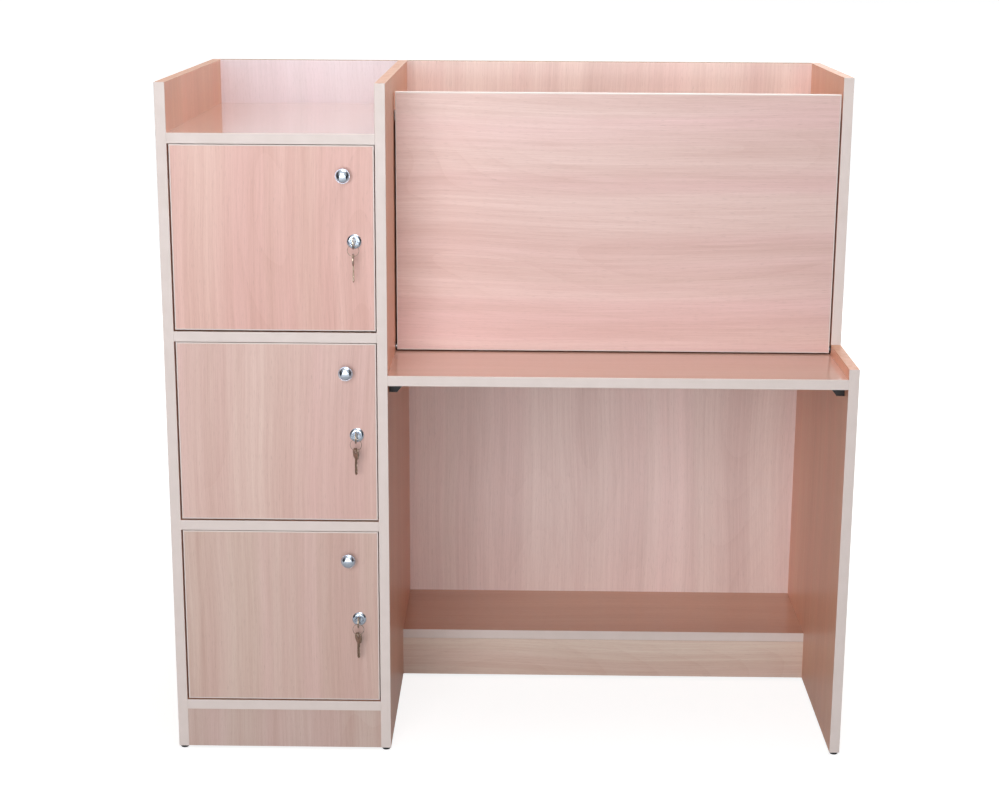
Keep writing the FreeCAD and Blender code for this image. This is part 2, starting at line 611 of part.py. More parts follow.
def key(name):
    """A flat key: the hole of its bow at the origin, its blade along the first axis."""
    body = new_body(name)
    pad(body, f"{name}_bow", circle(body, f"{name}_bow_outline", "bow_hole_offset", "bow_radius"),
        "key_thickness", midplane=True)
    shoulder = "bow_hole_offset + bow_radius"
    points = [("bow_hole_offset", "blade_width / 2"), ("bow_hole_offset", "-blade_width / 2")]
    for tooth in range(KEY_TEETH):
        at = f"{shoulder} + tooth_start + {tooth} * tooth_pitch"
        points += [(f"{at} - tooth_depth", "-blade_width / 2"), (at, "tooth_depth - blade_width / 2"),
                   (f"{at} + tooth_depth", "-blade_width / 2")]
    tip = f"{shoulder} + blade_length"
    points += [(f"{tip} - blade_point", "-blade_width / 2"), (tip, "0"),
               (f"{tip} - blade_point", "blade_width / 2")]
    pad(body, f"{name}_blade", outline(body, f"{name}_blade_outline", points),
        "key_thickness", midplane=True)
    hole = body.newObject("PartDesign::Pocket", f"{name}_hole")
    hole.Profile = circle(body, f"{name}_hole_outline", "0", "bow_hole_radius")
    hole.Type = "ThroughAll"
    hole.Midplane = True
    return body


def hinge_arm(name, z):
    """A cup hinge's arm: a foot on the side panel, a bend round the door's edge, an eye on the pin."""
    bend_start, bend_end = 40, 150
    inner = "(sqrt(hinge_edge^2 + hinge_depth^2) + arm_clearance)"
    low = f"{z} - arm_width / 2"
    outer_bend = rod(f"{name}_outer_bend", f"{inner} + arm_thickness", "arm_width", PIN_X, PIN_Y, low, "up")
    outer_bend.Angle = bend_end - bend_start
    place(outer_bend, PIN_X, PIN_Y, low, Rotation(Vector(0, 0, 1), bend_start))
    inner_bend = rod(f"{name}_inner_bend", inner, "arm_width", PIN_X, PIN_Y, low, "up")
    bar = block(f"{name}_bar", "0", "0", "0", f"{inner} + arm_thickness / 2", "arm_bar", "arm_width")
    place(bar, f"{PIN_X} + sin({bend_start} deg) * arm_bar / 2",
          f"{PIN_Y} - cos({bend_start} deg) * arm_bar / 2", low, Rotation(Vector(0, 0, 1), bend_start))
    eye = rod(f"{name}_eye", "hinge_eye_radius", "arm_width", PIN_X, PIN_Y, low, "up")
    foot = block(f"{name}_foot", LOCKER_LEFT, f"{PIN_Y} + arm_start", low,
                 "arm_foot", "arm_length", "arm_width")
    plate = block(f"{name}_plate", LOCKER_LEFT, f"{PIN_Y} + arm_start", f"{z} - plate_height / 2",
                  "plate_thickness", "arm_length", "plate_height")
    bend = cut(f"{name}_bend", outer_bend, [inner_bend])
    arm = fuse(f"{name}_blank", [bend, bar, eye, foot, plate])
    pin_hole = rod(f"{name}_pin_hole", "hinge_pin_radius + running_gap", "arm_width",
                   PIN_X, PIN_Y, low, "up")
    fixings = []
    for end, screw_z in (("low", f"{z} - plate_height / 2 + plate_screw_inset"),
                         ("high", f"{z} + plate_height / 2 - plate_screw_inset")):
        fixings.append(bore(screw(f"{name}_{end}_screw", f"{LOCKER_LEFT} + plate_thickness",
                                  f"{PIN_Y} + arm_start + arm_length / 2", screw_z, "left", "screw_length"),
                            "left_side_panel"))
    screws.extend(fixings)
    return cut(name, arm, [pin_hole] + fixings)


def hinge_cup(name, z, door):
    """A hinge cup sunk in the back of a door, its pin, and the two screws in its flange."""
    bowl = rod(f"{name}_bowl", "cup_radius", "cup_depth", PIN_X, DOOR_REAR, z, "front")
    flange = block(f"{name}_flange", f"{PIN_X} - cup_flange_width / 2", DOOR_REAR,
                   f"{z} - cup_flange_height / 2", "cup_flange_width", "cup_flange", "cup_flange_height")
    hollow = rod(f"{name}_hollow", "cup_radius - cup_wall", "cup_depth - cup_wall + cup_flange",
                 PIN_X, f"{DOOR_REAR} + cup_flange", z, "front")
    pin = rod(f"{name}_pin", "hinge_pin_radius", "2 * cup_radius - cup_wall",
              PIN_X, PIN_Y, f"{z} - cup_radius + cup_wall / 2", "up")
    fixings = []
    for end, screw_z in (("low", f"{z} - cup_flange_height / 2 + cup_screw_inset"),
                         ("high", f"{z} + cup_flange_height / 2 - cup_screw_inset")):
        fixings.append(bore(screw(f"{name}_{end}_screw", PIN_X, f"{DOOR_REAR} + cup_flange", screw_z,
                                  "front", "screw_length"), door))
    bore(bowl, door)
    cup = cut(name, fuse(f"{name}_blank", [bowl, flange]), [hollow, pin] + fixings)
    return [cup, pin], fixings


def knob(name, x, z, door):
    """A turned mushroom knob and the screw that holds it through the door."""
    head_back = "knob_head - knob_length"
    body, turning = turned(f"{name}_blank", [
        ("0", "0"),
        ("knob_foot_radius", "0"),
        ("knob_foot_radius", "-knob_foot / 2"),
        ("knob_neck_radius", "-knob_foot"),
        ("knob_neck_radius", head_back),
        ("knob_radius", f"{head_back} - knob_cone"),
        ("knob_radius", "-knob_length"),
        ("0", "-knob_length"),
    ])
    round_over(body, turning, "min(knob_dome; (knob_head - knob_cone) * 0.95)",
               lambda edge: edge.BoundBox.YMax < turning.Shape.BoundBox.YMin + TOUCH)
    place(body, x, FRONT, z)
    shank = rod(f"{name}_screw_shank", "knob_screw_radius", "board + knob_screw_bite",
                x, DOOR_REAR, z, "front")
    head = rod(f"{name}_screw_head", "knob_screw_head_radius", "knob_screw_head",
               x, f"{DOOR_REAR} + knob_screw_head", z, "front")
    bore(shank, door)
    return cut(name, body, [shank]), fuse(f"{name}_screw", [shank, head])


# Three lockers, each with its door, knob, hinges, lock and keys
arms = []
for level, locker in enumerate(("lower", "middle", "upper")):
    opening_low = f"({LOCKER_FLOOR_TOP} + {level} * ({OPENING} + board))"
    bottom = f"({opening_low} + door_foot_gap)"
    top = f"({opening_low} + {OPENING} - door_head_gap)"
    door = f"{locker}_door_board"
    door_bands = banded_panel(f"{locker}_door", DOOR_LEFT, DOOR_RIGHT, bottom, top, FRONT)
    node(f"{locker}_door_edging", group(f"{locker}_door_edging", door_bands))

    cups = []
    door_fixings = []
    for end, z in (("low", f"({bottom} + hinge_end)"), ("high", f"({top} - hinge_end)")):
        arms.append(hinge_arm(f"{locker}_{end}_hinge_arm", z))
        cup_and_pin, cup_screws = hinge_cup(f"{locker}_{end}_hinge_cup", z, door)
        cups += cup_and_pin
        door_fixings += cup_screws
    node(f"{locker}_hinge_cups", group(f"{locker}_hinge_cups", cups))

    knob_piece, knob_screw = knob(f"{locker}_knob", f"{DOOR_RIGHT} - knob_edge", f"{top} - knob_drop", door)
    node(f"{locker}_knob", knob_piece)
    door_fixings.append(knob_screw)

    # Lock: a rosette and barrel through the door, a nut behind it, and the plug that turns inside
    lock_z = f"({opening_low} + {OPENING} / 2 - lock_drop)"
    bore_radius = "plug_radius + running_gap"
    housing, turning = turned(f"{locker}_lock_housing", [
        (bore_radius, "-rosette_height"),
        ("rosette_radius - rosette_slope", "-rosette_height"),
        ("rosette_radius", "-rosette_rim"),
        ("rosette_radius", "0"),
        ("barrel_radius", "0"),
        ("barrel_radius", "barrel_length"),
        (bore_radius, "barrel_length"),
    ])
    node(f"{locker}_lock_housing", place(housing, LOCK_X, FRONT, lock_z))
    barrel = bore(rod(f"{locker}_lock_hole", "barrel_radius", "barrel_length",
                      LOCK_X, FRONT, lock_z, "back"), door)
    nut = doc.addObject("Part::Prism", f"{locker}_lock_nut_blank")
    nut.Polygon = 6
    bind(nut, Circumradius="nut_radius", Height="nut_height")
    place(nut, LOCK_X, DOOR_REAR, lock_z, ALONG["back"])
    door_fixings.append(cut(f"{locker}_lock_nut", nut, [barrel]))
    node(f"{locker}_door_fixings", group(f"{locker}_door_fixings", door_fixings))

    cam_seat = "(barrel_length + cam_clearance)"
    plug, turning = turned(f"{locker}_lock_plug_blank", [
        ("0", "-rosette_height"),
        ("plug_radius", "-rosette_height"),
        ("plug_radius", cam_seat),
        ("stub_radius", cam_seat),
        ("stub_radius", f"{cam_seat} + cam_thickness + stub_end"),
        ("0", f"{cam_seat} + cam_thickness + stub_end"),
    ])
    place(plug, LOCK_X, FRONT, lock_z)
    slot = block(f"{locker}_key_slot", f"{LOCK_X} - key_thickness / 2 - key_play",
                 f"{FRONT} - rosette_height", f"{lock_z} - blade_width / 2 - key_play",
                 "key_thickness + 2 * key_play", "blade_length - key_neck + key_play",
                 "blade_width + 2 * key_play")
    node(f"{locker}_lock_plug", cut(f"{locker}_lock_plug", plug, [slot]))

    cam_body = new_body(f"{locker}_lock_cam_blank")
    cam_strip = pad(cam_body, f"{locker}_lock_cam_strip", outline(cam_body, f"{locker}_lock_cam_outline", [
        ("-cam_width / 2", "-cam_length"),
        ("cam_width / 2", "-cam_length"),
        ("cam_width / 2", "cam_tail"),
        ("-cam_width / 2", "cam_tail"),
    ]), "cam_thickness")
    round_over(cam_body, cam_strip, "cam_corner", is_upright)
    place(cam_body, LOCK_X, f"{FRONT} + {cam_seat} + cam_thickness", lock_z, Rotation(Vector(1, 0, 0), 90))
    node(f"{locker}_lock_cam", cut(f"{locker}_lock_cam", cam_body, [
        rod(f"{locker}_lock_cam_hole", "stub_radius", "cam_thickness",
            LOCK_X, f"{FRONT} + {cam_seat}", lock_z, "back")]))
    sweep = "sqrt(max(cam_length^2 + cam_width^2 / 4 - (lock_edge + door_lock_gap)^2; cam_width^2 / 4))"
    bore(block(f"{locker}_mortise", LOCKER_RIGHT, f"{FRONT} + {cam_seat} - mortise_play",
               f"{lock_z} - {sweep} - mortise_play", "mortise_depth", "cam_thickness + 2 * mortise_play",
               f"{sweep} + cam_width / 2 + 2 * mortise_play"), "partition_panel")

    # Key in the lock, the ring through its bow, and the spare key on the ring
    key_y = f"{FRONT} - {KEY_HOLE_OUT}"
    node(f"{locker}_key", place(key(f"{locker}_key"), LOCK_X, key_y, lock_z, AXES_SHIFTED))
    ring_drop = "(bow_hole_radius - ring_wire - ring_play)"
    ring_z = f"({lock_z} - {ring_drop} - ring_radius)"
    ring = doc.addObject("Part::Torus", f"{locker}_key_ring")
    bind(ring, Radius1="ring_radius", Radius2="ring_wire")
    node(f"{locker}_key_ring", place(ring, LOCK_X, key_y, ring_z, Rotation(Vector(1, 0, 0), 90)))
    hanging = Rotation(Vector(0, 0, 1), SPARE_KEY_TURN[locker]).multiply(Rotation(Vector(0, 1, 0), 90))
    node(f"{locker}_spare_key", place(key(f"{locker}_spare_key"), LOCK_X, key_y,
                                      f"{ring_z} - ring_radius - {ring_drop}", hanging))
node("hinge_arms", group("hinge_arms", arms))
node("carcass_screws", group("carcass_screws", screws))

# Boards, drilled for the fittings that they hold
for name, blank in blanks.items():
    node(name, cut(name, blank, bores[name]) if name in bores else blank)

doc.recompute()
for obj in doc.Objects:
    if {"Invalid", "Error"} & set(obj.State):
        raise RuntimeError(f"{obj.Label} failed: {obj.State}")
for obj in nodes:
    if obj.Shape.isNull() or not obj.Shape.isValid() or not obj.Shape.Solids:
        raise RuntimeError(f"{obj.Label} has no valid solid")
os.makedirs("parts", exist_ok=True)
for obj in nodes:
    obj.Shape.exportStep(f"parts/{obj.Label}.step")
print(f"{len(nodes)} sub-parts, {sum(len(obj.Shape.Solids) for obj in nodes)} solids")
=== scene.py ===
import math

import bmesh
import bpy
from mathutils import Matrix, Vector
from mathutils.geometry import tessellate_polygon


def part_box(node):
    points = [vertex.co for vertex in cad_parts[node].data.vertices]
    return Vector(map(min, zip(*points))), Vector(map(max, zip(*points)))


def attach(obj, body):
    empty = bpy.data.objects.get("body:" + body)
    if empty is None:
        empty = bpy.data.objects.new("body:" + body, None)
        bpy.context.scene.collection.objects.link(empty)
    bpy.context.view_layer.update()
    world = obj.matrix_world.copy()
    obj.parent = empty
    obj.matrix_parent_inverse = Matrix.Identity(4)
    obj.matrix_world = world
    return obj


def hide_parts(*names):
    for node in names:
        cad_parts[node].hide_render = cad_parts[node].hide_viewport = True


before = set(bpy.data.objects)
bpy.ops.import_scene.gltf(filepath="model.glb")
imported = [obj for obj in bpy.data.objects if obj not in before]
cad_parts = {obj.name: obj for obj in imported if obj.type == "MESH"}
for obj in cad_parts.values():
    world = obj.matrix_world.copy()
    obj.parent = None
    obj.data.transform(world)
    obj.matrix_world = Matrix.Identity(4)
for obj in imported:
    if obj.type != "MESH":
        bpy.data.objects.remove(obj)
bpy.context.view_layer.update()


# Side panels and partition: three upright boards of pressed wood chips that carry everything else.
# Their faces have a beech print under clear melamine, with the grain upright. The rear and bottom
# edges are bare, and the front and top edges are covered by glued bands.
def tone(red, green, blue):
    """A colour as it is seen, from 0 to 255, as the light values that a shader takes."""
    return tuple(((part / 255 + 0.055) / 1.055) ** 2.4 for part in (red, green, blue)) + (1.0,)


def add(tree, kind, sockets=None, **settings):
    """A new shader node with its settings, its sockets set to values or wired to other sockets."""
    made = tree.nodes.new(f"ShaderNode{kind}")
    for setting, value in settings.items():
        setattr(made, setting, value)
    for socket, value in (sockets or {}).items():
        if isinstance(value, bpy.types.NodeSocket):
            tree.links.new(value, made.inputs[socket])
        else:
            made.inputs[socket].default_value = value
    return made


def new_finish(name):
    """An empty material: its node tree and its surface shader."""
    material = bpy.data.materials.new(name)
    material.use_nodes = True
    return material, material.node_tree, material.node_tree.nodes["Principled BSDF"]


def blend_tones(tree, share, first, second):
    """One colour that turns into another with the share."""
    made = add(tree, "Mix", {0: share, 6: first, 7: second}, data_type="RGBA")
    return made.outputs[2]


def calculate(tree, operation, first, second=0.0):
    return add(tree, "Math", {0: first, 1: second}, operation=operation).outputs[0]


def total(tree, *values):
    added = values[0]
    for value in values[1:]:
        added = calculate(tree, "ADD", added, value)
    return added


def spread(tree, value, low, high, start=0.0, end=1.0):
    """A value that runs from start to end while the given one runs from low to high."""
    return add(tree, "MapRange", {"Value": value, "From Min": low, "From Max": high,
                                  "To Min": start, "To Max": end}).outputs[0]


def streaks(tree, along, across, depth, per_metre, detail=2.0):
    """Cloudy streaks, with so many to the metre along, across and through the board."""
    parts = [calculate(tree, "MULTIPLY", part, count)
             for part, count in zip((along, across, depth), per_metre)]
    place = add(tree, "CombineXYZ", dict(enumerate(parts)))
    cloud = add(tree, "TexNoise", {"Vector": place.outputs[0], "Scale": 1.0, "Detail": detail})
    return cloud.outputs[0]


def wear_finish(finish, *nodes):
    for node in nodes:
        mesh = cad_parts[node].data
        mesh.materials.clear()
        mesh.materials.append(finish)


PRINT_LENGTH = 23.0
PRINT_WIDTH = 7.0
SWAY = 0.012
SWAY_STREAKS = (1.4, 2.2, 2.0)
BROAD_STREAKS = (0.5, 6.0, 7.0)
BAND_STREAKS = (0.7, 26.0, 9.0)
WARM_STREAKS = (0.5, 15.0, 12.0)
LINE_STREAKS = (2.2, 150.0, 20.0)
FIBRE_STREAKS = (9.0, 620.0, 60.0)
PORE_STREAKS = (70.0, 1700.0, 300.0)
HILL_STREAKS = (0.9, 4.2, 2.0)
CLOUD_SPAN = (0.34, 0.66)
SOFT_SPAN = (0.3, 0.7)
BLUSH_SPAN = (0.4, 0.6)
ARCH_SPAN = (0.42, 0.58)
PORE_SPAN = (0.68, 0.76)
BROAD_MIDDLE = 0.03
BROAD_SWING = 0.18
BAND_SHADES = (0.06, 0.36)
LINE_SHADES = (0.03, 0.29)
FIBRE_SHADES = (-0.13, 0.13)
BLUSH_SHARES = (0.1, 0.75)
PORE_DARKNESS = 0.7
PORE_SHARE = 0.3
ARCHES = 26.0
ARCH_DEPTH = 0.14
ARCH_SHARPNESS = 4.0
CHIP_SCALE = 420.0
CHIP_TONES = (tone(196, 160, 118), tone(140, 104, 70))
BARE_ROUGHNESS = 0.4
RELIEF_SHARE = 0.5
RELIEF_STRENGTH = 0.06
RELIEF_DEPTH = 0.0005
LACQUER_ROUGHNESS = 0.06


def beech_board(name, grain, face, light, deep, blush, roughness=0.34, figure=1.0, behind=None,
                lacquer=0.0):
    """A printed board: its grain along one axis, its printed faces square to another. The face
    behind can have a light and a deep tone of its own."""
    finish, tree, surface = new_finish(name)
    spot = add(tree, "TexCoord")
    axes = add(tree, "SeparateXYZ", {0: spot.outputs["Object"]}).outputs
    across_axis = ({"X", "Y", "Z"} - {grain, face}).pop()
    # Each board is cut from a stretch of the print of its own
    cut = add(tree, "ObjectInfo").outputs["Random"]
    along = calculate(tree, "ADD", axes[grain], calculate(tree, "MULTIPLY", cut, PRINT_LENGTH))
    across = calculate(tree, "ADD", axes[across_axis], calculate(tree, "MULTIPLY", cut, PRINT_WIDTH))
    depth = axes[face]
    sway = streaks(tree, along, across, depth, SWAY_STREAKS, detail=1.0)
    bent = calculate(tree, "ADD", across, spread(tree, sway, *SOFT_SPAN, -SWAY, SWAY))

    broad = streaks(tree, along, bent, depth, BROAD_STREAKS)
    bands = streaks(tree, along, bent, depth, BAND_STREAKS)
    warm = streaks(tree, along, bent, depth, WARM_STREAKS)
    lines = streaks(tree, along, bent, depth, LINE_STREAKS, detail=3.0)
    fibres = streaks(tree, along, bent, depth, FIBRE_STREAKS)
    pores = streaks(tree, along, bent, depth, PORE_STREAKS, detail=0.0)
    hills = streaks(tree, along, bent, depth, HILL_STREAKS, detail=0.6)
    ring_share = calculate(tree, "FRACT", calculate(tree, "MULTIPLY", hills, ARCHES))
    ring_ends = calculate(tree, "POWER", ring_share, ARCH_SHARPNESS)
    arches = calculate(tree, "MULTIPLY", ring_ends, spread(tree, broad, *ARCH_SPAN, 0.0, ARCH_DEPTH))

    swing = BROAD_SWING * figure
    shade = total(tree, arches,
                  spread(tree, broad, *CLOUD_SPAN, BROAD_MIDDLE - swing, BROAD_MIDDLE + swing),
                  spread(tree, bands, *CLOUD_SPAN, *BAND_SHADES),
                  spread(tree, lines, *CLOUD_SPAN, *LINE_SHADES),
                  spread(tree, fibres, *CLOUD_SPAN, *FIBRE_SHADES))
    wood = blend_tones(tree, shade, light, deep)
    rosy_wood = blend_tones(tree, shade, blush, deep)
    wood = blend_tones(tree, spread(tree, warm, *BLUSH_SPAN, *BLUSH_SHARES), wood, rosy_wood)
    pore_tone = tuple(part * PORE_DARKNESS for part in deep[:3]) + (1.0,)
    wood = blend_tones(tree, spread(tree, pores, *PORE_SPAN, 0.0, PORE_SHARE), wood, pore_tone)

    chips = add(tree, "TexVoronoi", {"Vector": spot.outputs["Object"], "Scale": CHIP_SCALE})
    core = blend_tones(tree, chips.outputs["Distance"], *CHIP_TONES)
    sides = add(tree, "SeparateXYZ", {0: spot.outputs["Normal"]}).outputs[face]
    if behind:
        wood = blend_tones(tree, calculate(tree, "GREATER_THAN", sides, 0.5), wood,
                           blend_tones(tree, shade, *behind))
    printed = calculate(tree, "GREATER_THAN", calculate(tree, "ABSOLUTE", sides), 0.5)
    tree.links.new(blend_tones(tree, printed, core, wood), surface.inputs["Base Color"])
    sheen = spread(tree, fibres, *SOFT_SPAN, roughness - 0.05, roughness + 0.06)
    bare = calculate(tree, "SUBTRACT", 1.0, printed)
    tree.links.new(calculate(tree, "ADD", sheen, calculate(tree, "MULTIPLY", bare, BARE_ROUGHNESS)),
                   surface.inputs["Roughness"])
    relief = calculate(tree, "ADD", calculate(tree, "MULTIPLY", lines, RELIEF_SHARE),
                       calculate(tree, "MULTIPLY", chips.outputs["Distance"], bare))
    bump = add(tree, "Bump", {"Height": relief, "Strength": RELIEF_STRENGTH, "Distance": RELIEF_DEPTH})
    tree.links.new(bump.outputs[0], surface.inputs["Normal"])
    surface.inputs["Coat Weight"].default_value = lacquer
    surface.inputs["Coat Roughness"].default_value = LACQUER_ROUGHNESS
    return finish


# The uprights' tones are warmer and more orange than the front boards': painted warm bounce light from
# the wood around them, on top of the beech print.
upright_print_and_bounce = beech_board("upright_beech_and_bounce", "Z", "X", tone(237, 183, 153), tone(219, 161, 131),
                            tone(238, 175, 147))
wear_finish(upright_print_and_bounce, "left_side_panel", "partition_panel", "right_side_panel")

# Level boards: desktop, hutch top, foot shelf and the four locker boards, with the grain from side
# to side. Cam connectors pull them against the panels, and corner brackets hold the desktop. The
# locker's top shelf is a tray under a clear lacquer that mirrors the boards around it.
SHELVES = ("locker_upper_shelf", "locker_lower_shelf", "locker_floor", "hutch_top_board", "foot_shelf")
# The level boards' tones are more orange than the front boards': painted warm bounce light on top of
# the print.
level_print_and_bounce = beech_board("level_beech_and_bounce", "X", "Z", tone(219, 176, 151), tone(206, 161, 138),
                          tone(219, 171, 146), roughness=0.16)
wear_finish(level_print_and_bounce, *SHELVES)
# The desktop's tones are darker and more orange than the front boards': painted shade and painted warm
# bounce light on top of the print.
desktop_print_and_shade = beech_board("desktop_beech_and_shade", "X", "Z", tone(202, 164, 148), tone(190, 149, 134),
                            tone(202, 158, 145), roughness=0.16)
wear_finish(desktop_print_and_shade, "desktop")
tray_print = beech_board("tray_beech", "X", "Z", tone(207, 167, 147), tone(194, 152, 134),
                         tone(207, 162, 142), roughness=0.16, lacquer=1.0)
wear_finish(tray_print, "locker_tray_shelf")

# Backs: two boards of the same make that stand between the panels, grain upright, screwed from
# behind into the level boards.
# The back tones are paler and greyer than the front boards': painted light in the knee space that the
# desktop shades. The desk back takes them, and so does the locker back's rear face.
BACK_TONES_AND_LIGHT = (tone(241, 224, 219), tone(217, 193, 189))
# The locker back's front face is paler and more lilac than the other boards: a painted sheen.
locker_back_print_and_sheen = beech_board("locker_back_beech_and_sheen", "Z", "Y", tone(236, 227, 235),
                                tone(223, 212, 219), tone(236, 222, 231), behind=BACK_TONES_AND_LIGHT)
wear_finish(locker_back_print_and_sheen, "locker_back")
desk_back_print_and_light = beech_board("desk_back_beech_and_light", "Z", "Y", *BACK_TONES_AND_LIGHT, tone(241, 216, 214),
                              figure=1.5)
wear_finish(desk_back_print_and_light, "desk_back")

# Plinth and foot rail: narrow boards that close the space under the locker floor, with upright
# grain, and under the foot shelf, with level grain. The panels hold them by their ends.
# The plinth's tones are darker and greyer than the upper boards': painted shade low down.
plinth_print_and_shade = beech_board("plinth_beech_and_shade", "Z", "Y", tone(214, 197, 187), tone(192, 159, 149),
                           tone(215, 187, 183))
wear_finish(plinth_print_and_shade, "locker_plinth")
# The rail's tones are paler than the front boards': painted light in the shade under the desktop.
rail_print_and_light = beech_board("rail_beech_and_light", "X", "Y", tone(233, 217, 203), tone(210, 178, 164),
                         tone(234, 207, 199))
wear_finish(rail_print_and_light, "foot_shelf_rail")


# Edge bands: plastic strips of one millimetre, glued on hot and rounded over with a scraper. Those
# on the front edges are pale, and those on the panels' top edges have the beech colour.
GRIT_SCALE = 900.0
GRIT_SHARE = 0.3
GRIT_STRENGTH = 0.1


def moulded(name, light, deep, roughness, cloud_scale=60.0, grit_depth=0.0002):
    """A plastic with soft clouds of colour and a fine grit."""
    finish, tree, surface = new_finish(name)
    spot = add(tree, "TexCoord").outputs["Object"]
    cloud = add(tree, "TexNoise", {"Vector": spot, "Scale": cloud_scale, "Detail": 3.0}).outputs[0]
    grit = add(tree, "TexNoise", {"Vector": spot, "Scale": GRIT_SCALE, "Detail": 1.0}).outputs[0]
    share = calculate(tree, "ADD", spread(tree, cloud, *SOFT_SPAN, 0.0, 1.0 - GRIT_SHARE),
                      spread(tree, grit, *SOFT_SPAN, 0.0, GRIT_SHARE))
    tree.links.new(blend_tones(tree, share, light, deep), surface.inputs["Base Color"])
    tree.links.new(spread(tree, cloud, *SOFT_SPAN, roughness - 0.05, roughness + 0.07),
                   surface.inputs["Roughness"])
    bump = add(tree, "Bump", {"Height": grit, "Strength": GRIT_STRENGTH, "Distance": grit_depth})
    tree.links.new(bump.outputs[0], surface.inputs["Normal"])
    return finish


pale_band = moulded("pale_edge_band", tone(229, 216, 212), tone(223, 210, 205), 0.42, cloud_scale=35.0)
wear_finish(pale_band, "front_edging")
beech_band = moulded("beech_edge_band", tone(216, 161, 130), tone(198, 143, 114), 0.42)
wear_finish(beech_band, "top_edging")


# Foot glides: six moulded buttons of black plastic under the panels' ends. A nail through the well
# in the middle of each holds it to the bare bottom edge.
SAME_PLACE = 1e-6


def solids(node):
    """The corner points of each separate solid in a node of the frame."""
    skin = bmesh.new()
    skin.from_mesh(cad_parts[node].data)
    bmesh.ops.remove_doubles(skin, verts=skin.verts, dist=SAME_PLACE)
    skin.verts.index_update()
    seen = set()
    found = []
    for first in skin.verts:
        if first.index in seen:
            continue
        seen.add(first.index)
        waiting = [first]
        corners = []
        while waiting:
            corner = waiting.pop()
            corners.append(corner.co.copy())
            for edge in corner.link_edges:
                other = edge.other_vert(corner)
                if other.index not in seen:
                    seen.add(other.index)
                    waiting.append(other)
        found.append(corners)
    skin.free()
    return found


def reach_of(corners):
    """The lowest and highest corner of a cloud of points."""
    low = Vector([min(corner[i] for corner in corners) for i in range(3)])
    high = Vector([max(corner[i] for corner in corners) for i in range(3)])
    return low, high


def ringed(rings, closed=False):
    """A skin through rings of equal count: its points and faces, capped unless it closes on itself."""
    count = len(rings[0])
    points = [point for ring in rings for point in ring]
    faces = []
    for level in range(len(rings) if closed else len(rings) - 1):
        here = level * count
        there = (level + 1) % len(rings) * count
        for i in range(count):
            after = (i + 1) % count
            faces.append((here + i, here + after, there + after, there + i))
    if not closed:
        faces.append(tuple(range(count)))
        faces.append(tuple(range(len(points) - count, len(points))))
    return points, faces


def ring_of(radius, height, angles):
    return [(radius * math.cos(angle), radius * math.sin(angle), height) for angle in angles]


def even_angles(count):
    return [2 * math.pi * i / count for i in range(count)]


def turned(outline, count=48, closed=False):
    """A turned shape: its outline, as radius and height, spun about the third axis."""
    return ringed([ring_of(radius, height, even_angles(count)) for radius, height in outline], closed)


def arc(middle, radius, start, end, steps=6):
    """A round stretch of an outline about a middle, from one angle to another in degrees."""
    angles = [math.radians(start + (end - start) * i / steps) for i in range(steps + 1)]
    return [(middle[0] + radius * math.cos(angle), middle[1] + radius * math.sin(angle))
            for angle in angles]


FRONTWARDS = (0.0, -1.0, 0.0)
REARWARDS = (0.0, 1.0, 0.0)
UPWARDS = (0.0, 0.0, 1.0)
DOWNWARDS = (0.0, 0.0, -1.0)
LEFTWARDS = (-1.0, 0.0, 0.0)
RIGHTWARDS = (1.0, 0.0, 0.0)
AS_IT_IS = Matrix.Identity(4)


def stand(at, axis, up=UPWARDS):
    """A place for a shape: its third axis along the one given, its second towards up."""
    third = Vector(axis).normalized()
    first = Vector(up).cross(third).normalized()
    second = third.cross(first)
    return Matrix.Translation(Vector(at)) @ Matrix((first, second, third)).transposed().to_4x4()


CREASE = math.radians(32)


def make_piece(name, parts, finish, slot, body, *stands_for):
    """One piece from placed shapes, in its finish, carried by a body in place of nodes of the frame."""
    points = []
    faces = []
    for (shape_points, shape_faces), place in parts:
        start = len(points)
        points += [place @ Vector(point) for point in shape_points]
        faces += [tuple(start + i for i in face) for face in shape_faces]
    mesh = bpy.data.meshes.new(name)
    mesh.from_pydata(points, [], faces)
    skin = bmesh.new()
    skin.from_mesh(mesh)
    bmesh.ops.recalc_face_normals(skin, faces=skin.faces)
    skin.to_mesh(mesh)
    skin.free()
    mesh.shade_smooth()
    mesh.set_sharp_from_angle(angle=CREASE)
    mesh.materials.append(finish)
    piece = bpy.data.objects.new(name, mesh)
    bpy.context.scene.collection.objects.link(piece)
    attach(piece, body)
    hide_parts(*stands_for)
    return piece


MARKS_PER_CLOUD = 6
SCRATCH_DEPTH = 0.0001


def plated(name, light, deep, roughness, cloud_scale=300.0, scratch=0.0):
    """A plated metal, with faint clouds in its gloss and fine scratches where it is handled."""
    finish, tree, surface = new_finish(name)
    spot = add(tree, "TexCoord").outputs["Object"]
    cloud = add(tree, "TexNoise", {"Vector": spot, "Scale": cloud_scale, "Detail": 4.0}).outputs[0]
    tree.links.new(blend_tones(tree, spread(tree, cloud, 0.35, 0.65), light, deep),
                   surface.inputs["Base Color"])
    tree.links.new(spread(tree, cloud, *SOFT_SPAN, roughness * 0.7, roughness * 1.3),
                   surface.inputs["Roughness"])
    surface.inputs["Metallic"].default_value = 1.0
    marks = add(tree, "TexNoise", {"Vector": spot, "Scale": cloud_scale * MARKS_PER_CLOUD,
                                   "Detail": 2.0}).outputs[0]
    bump = add(tree, "Bump", {"Height": marks, "Strength": scratch, "Distance": SCRATCH_DEPTH})
    tree.links.new(bump.outputs[0], surface.inputs["Normal"])
    return finish


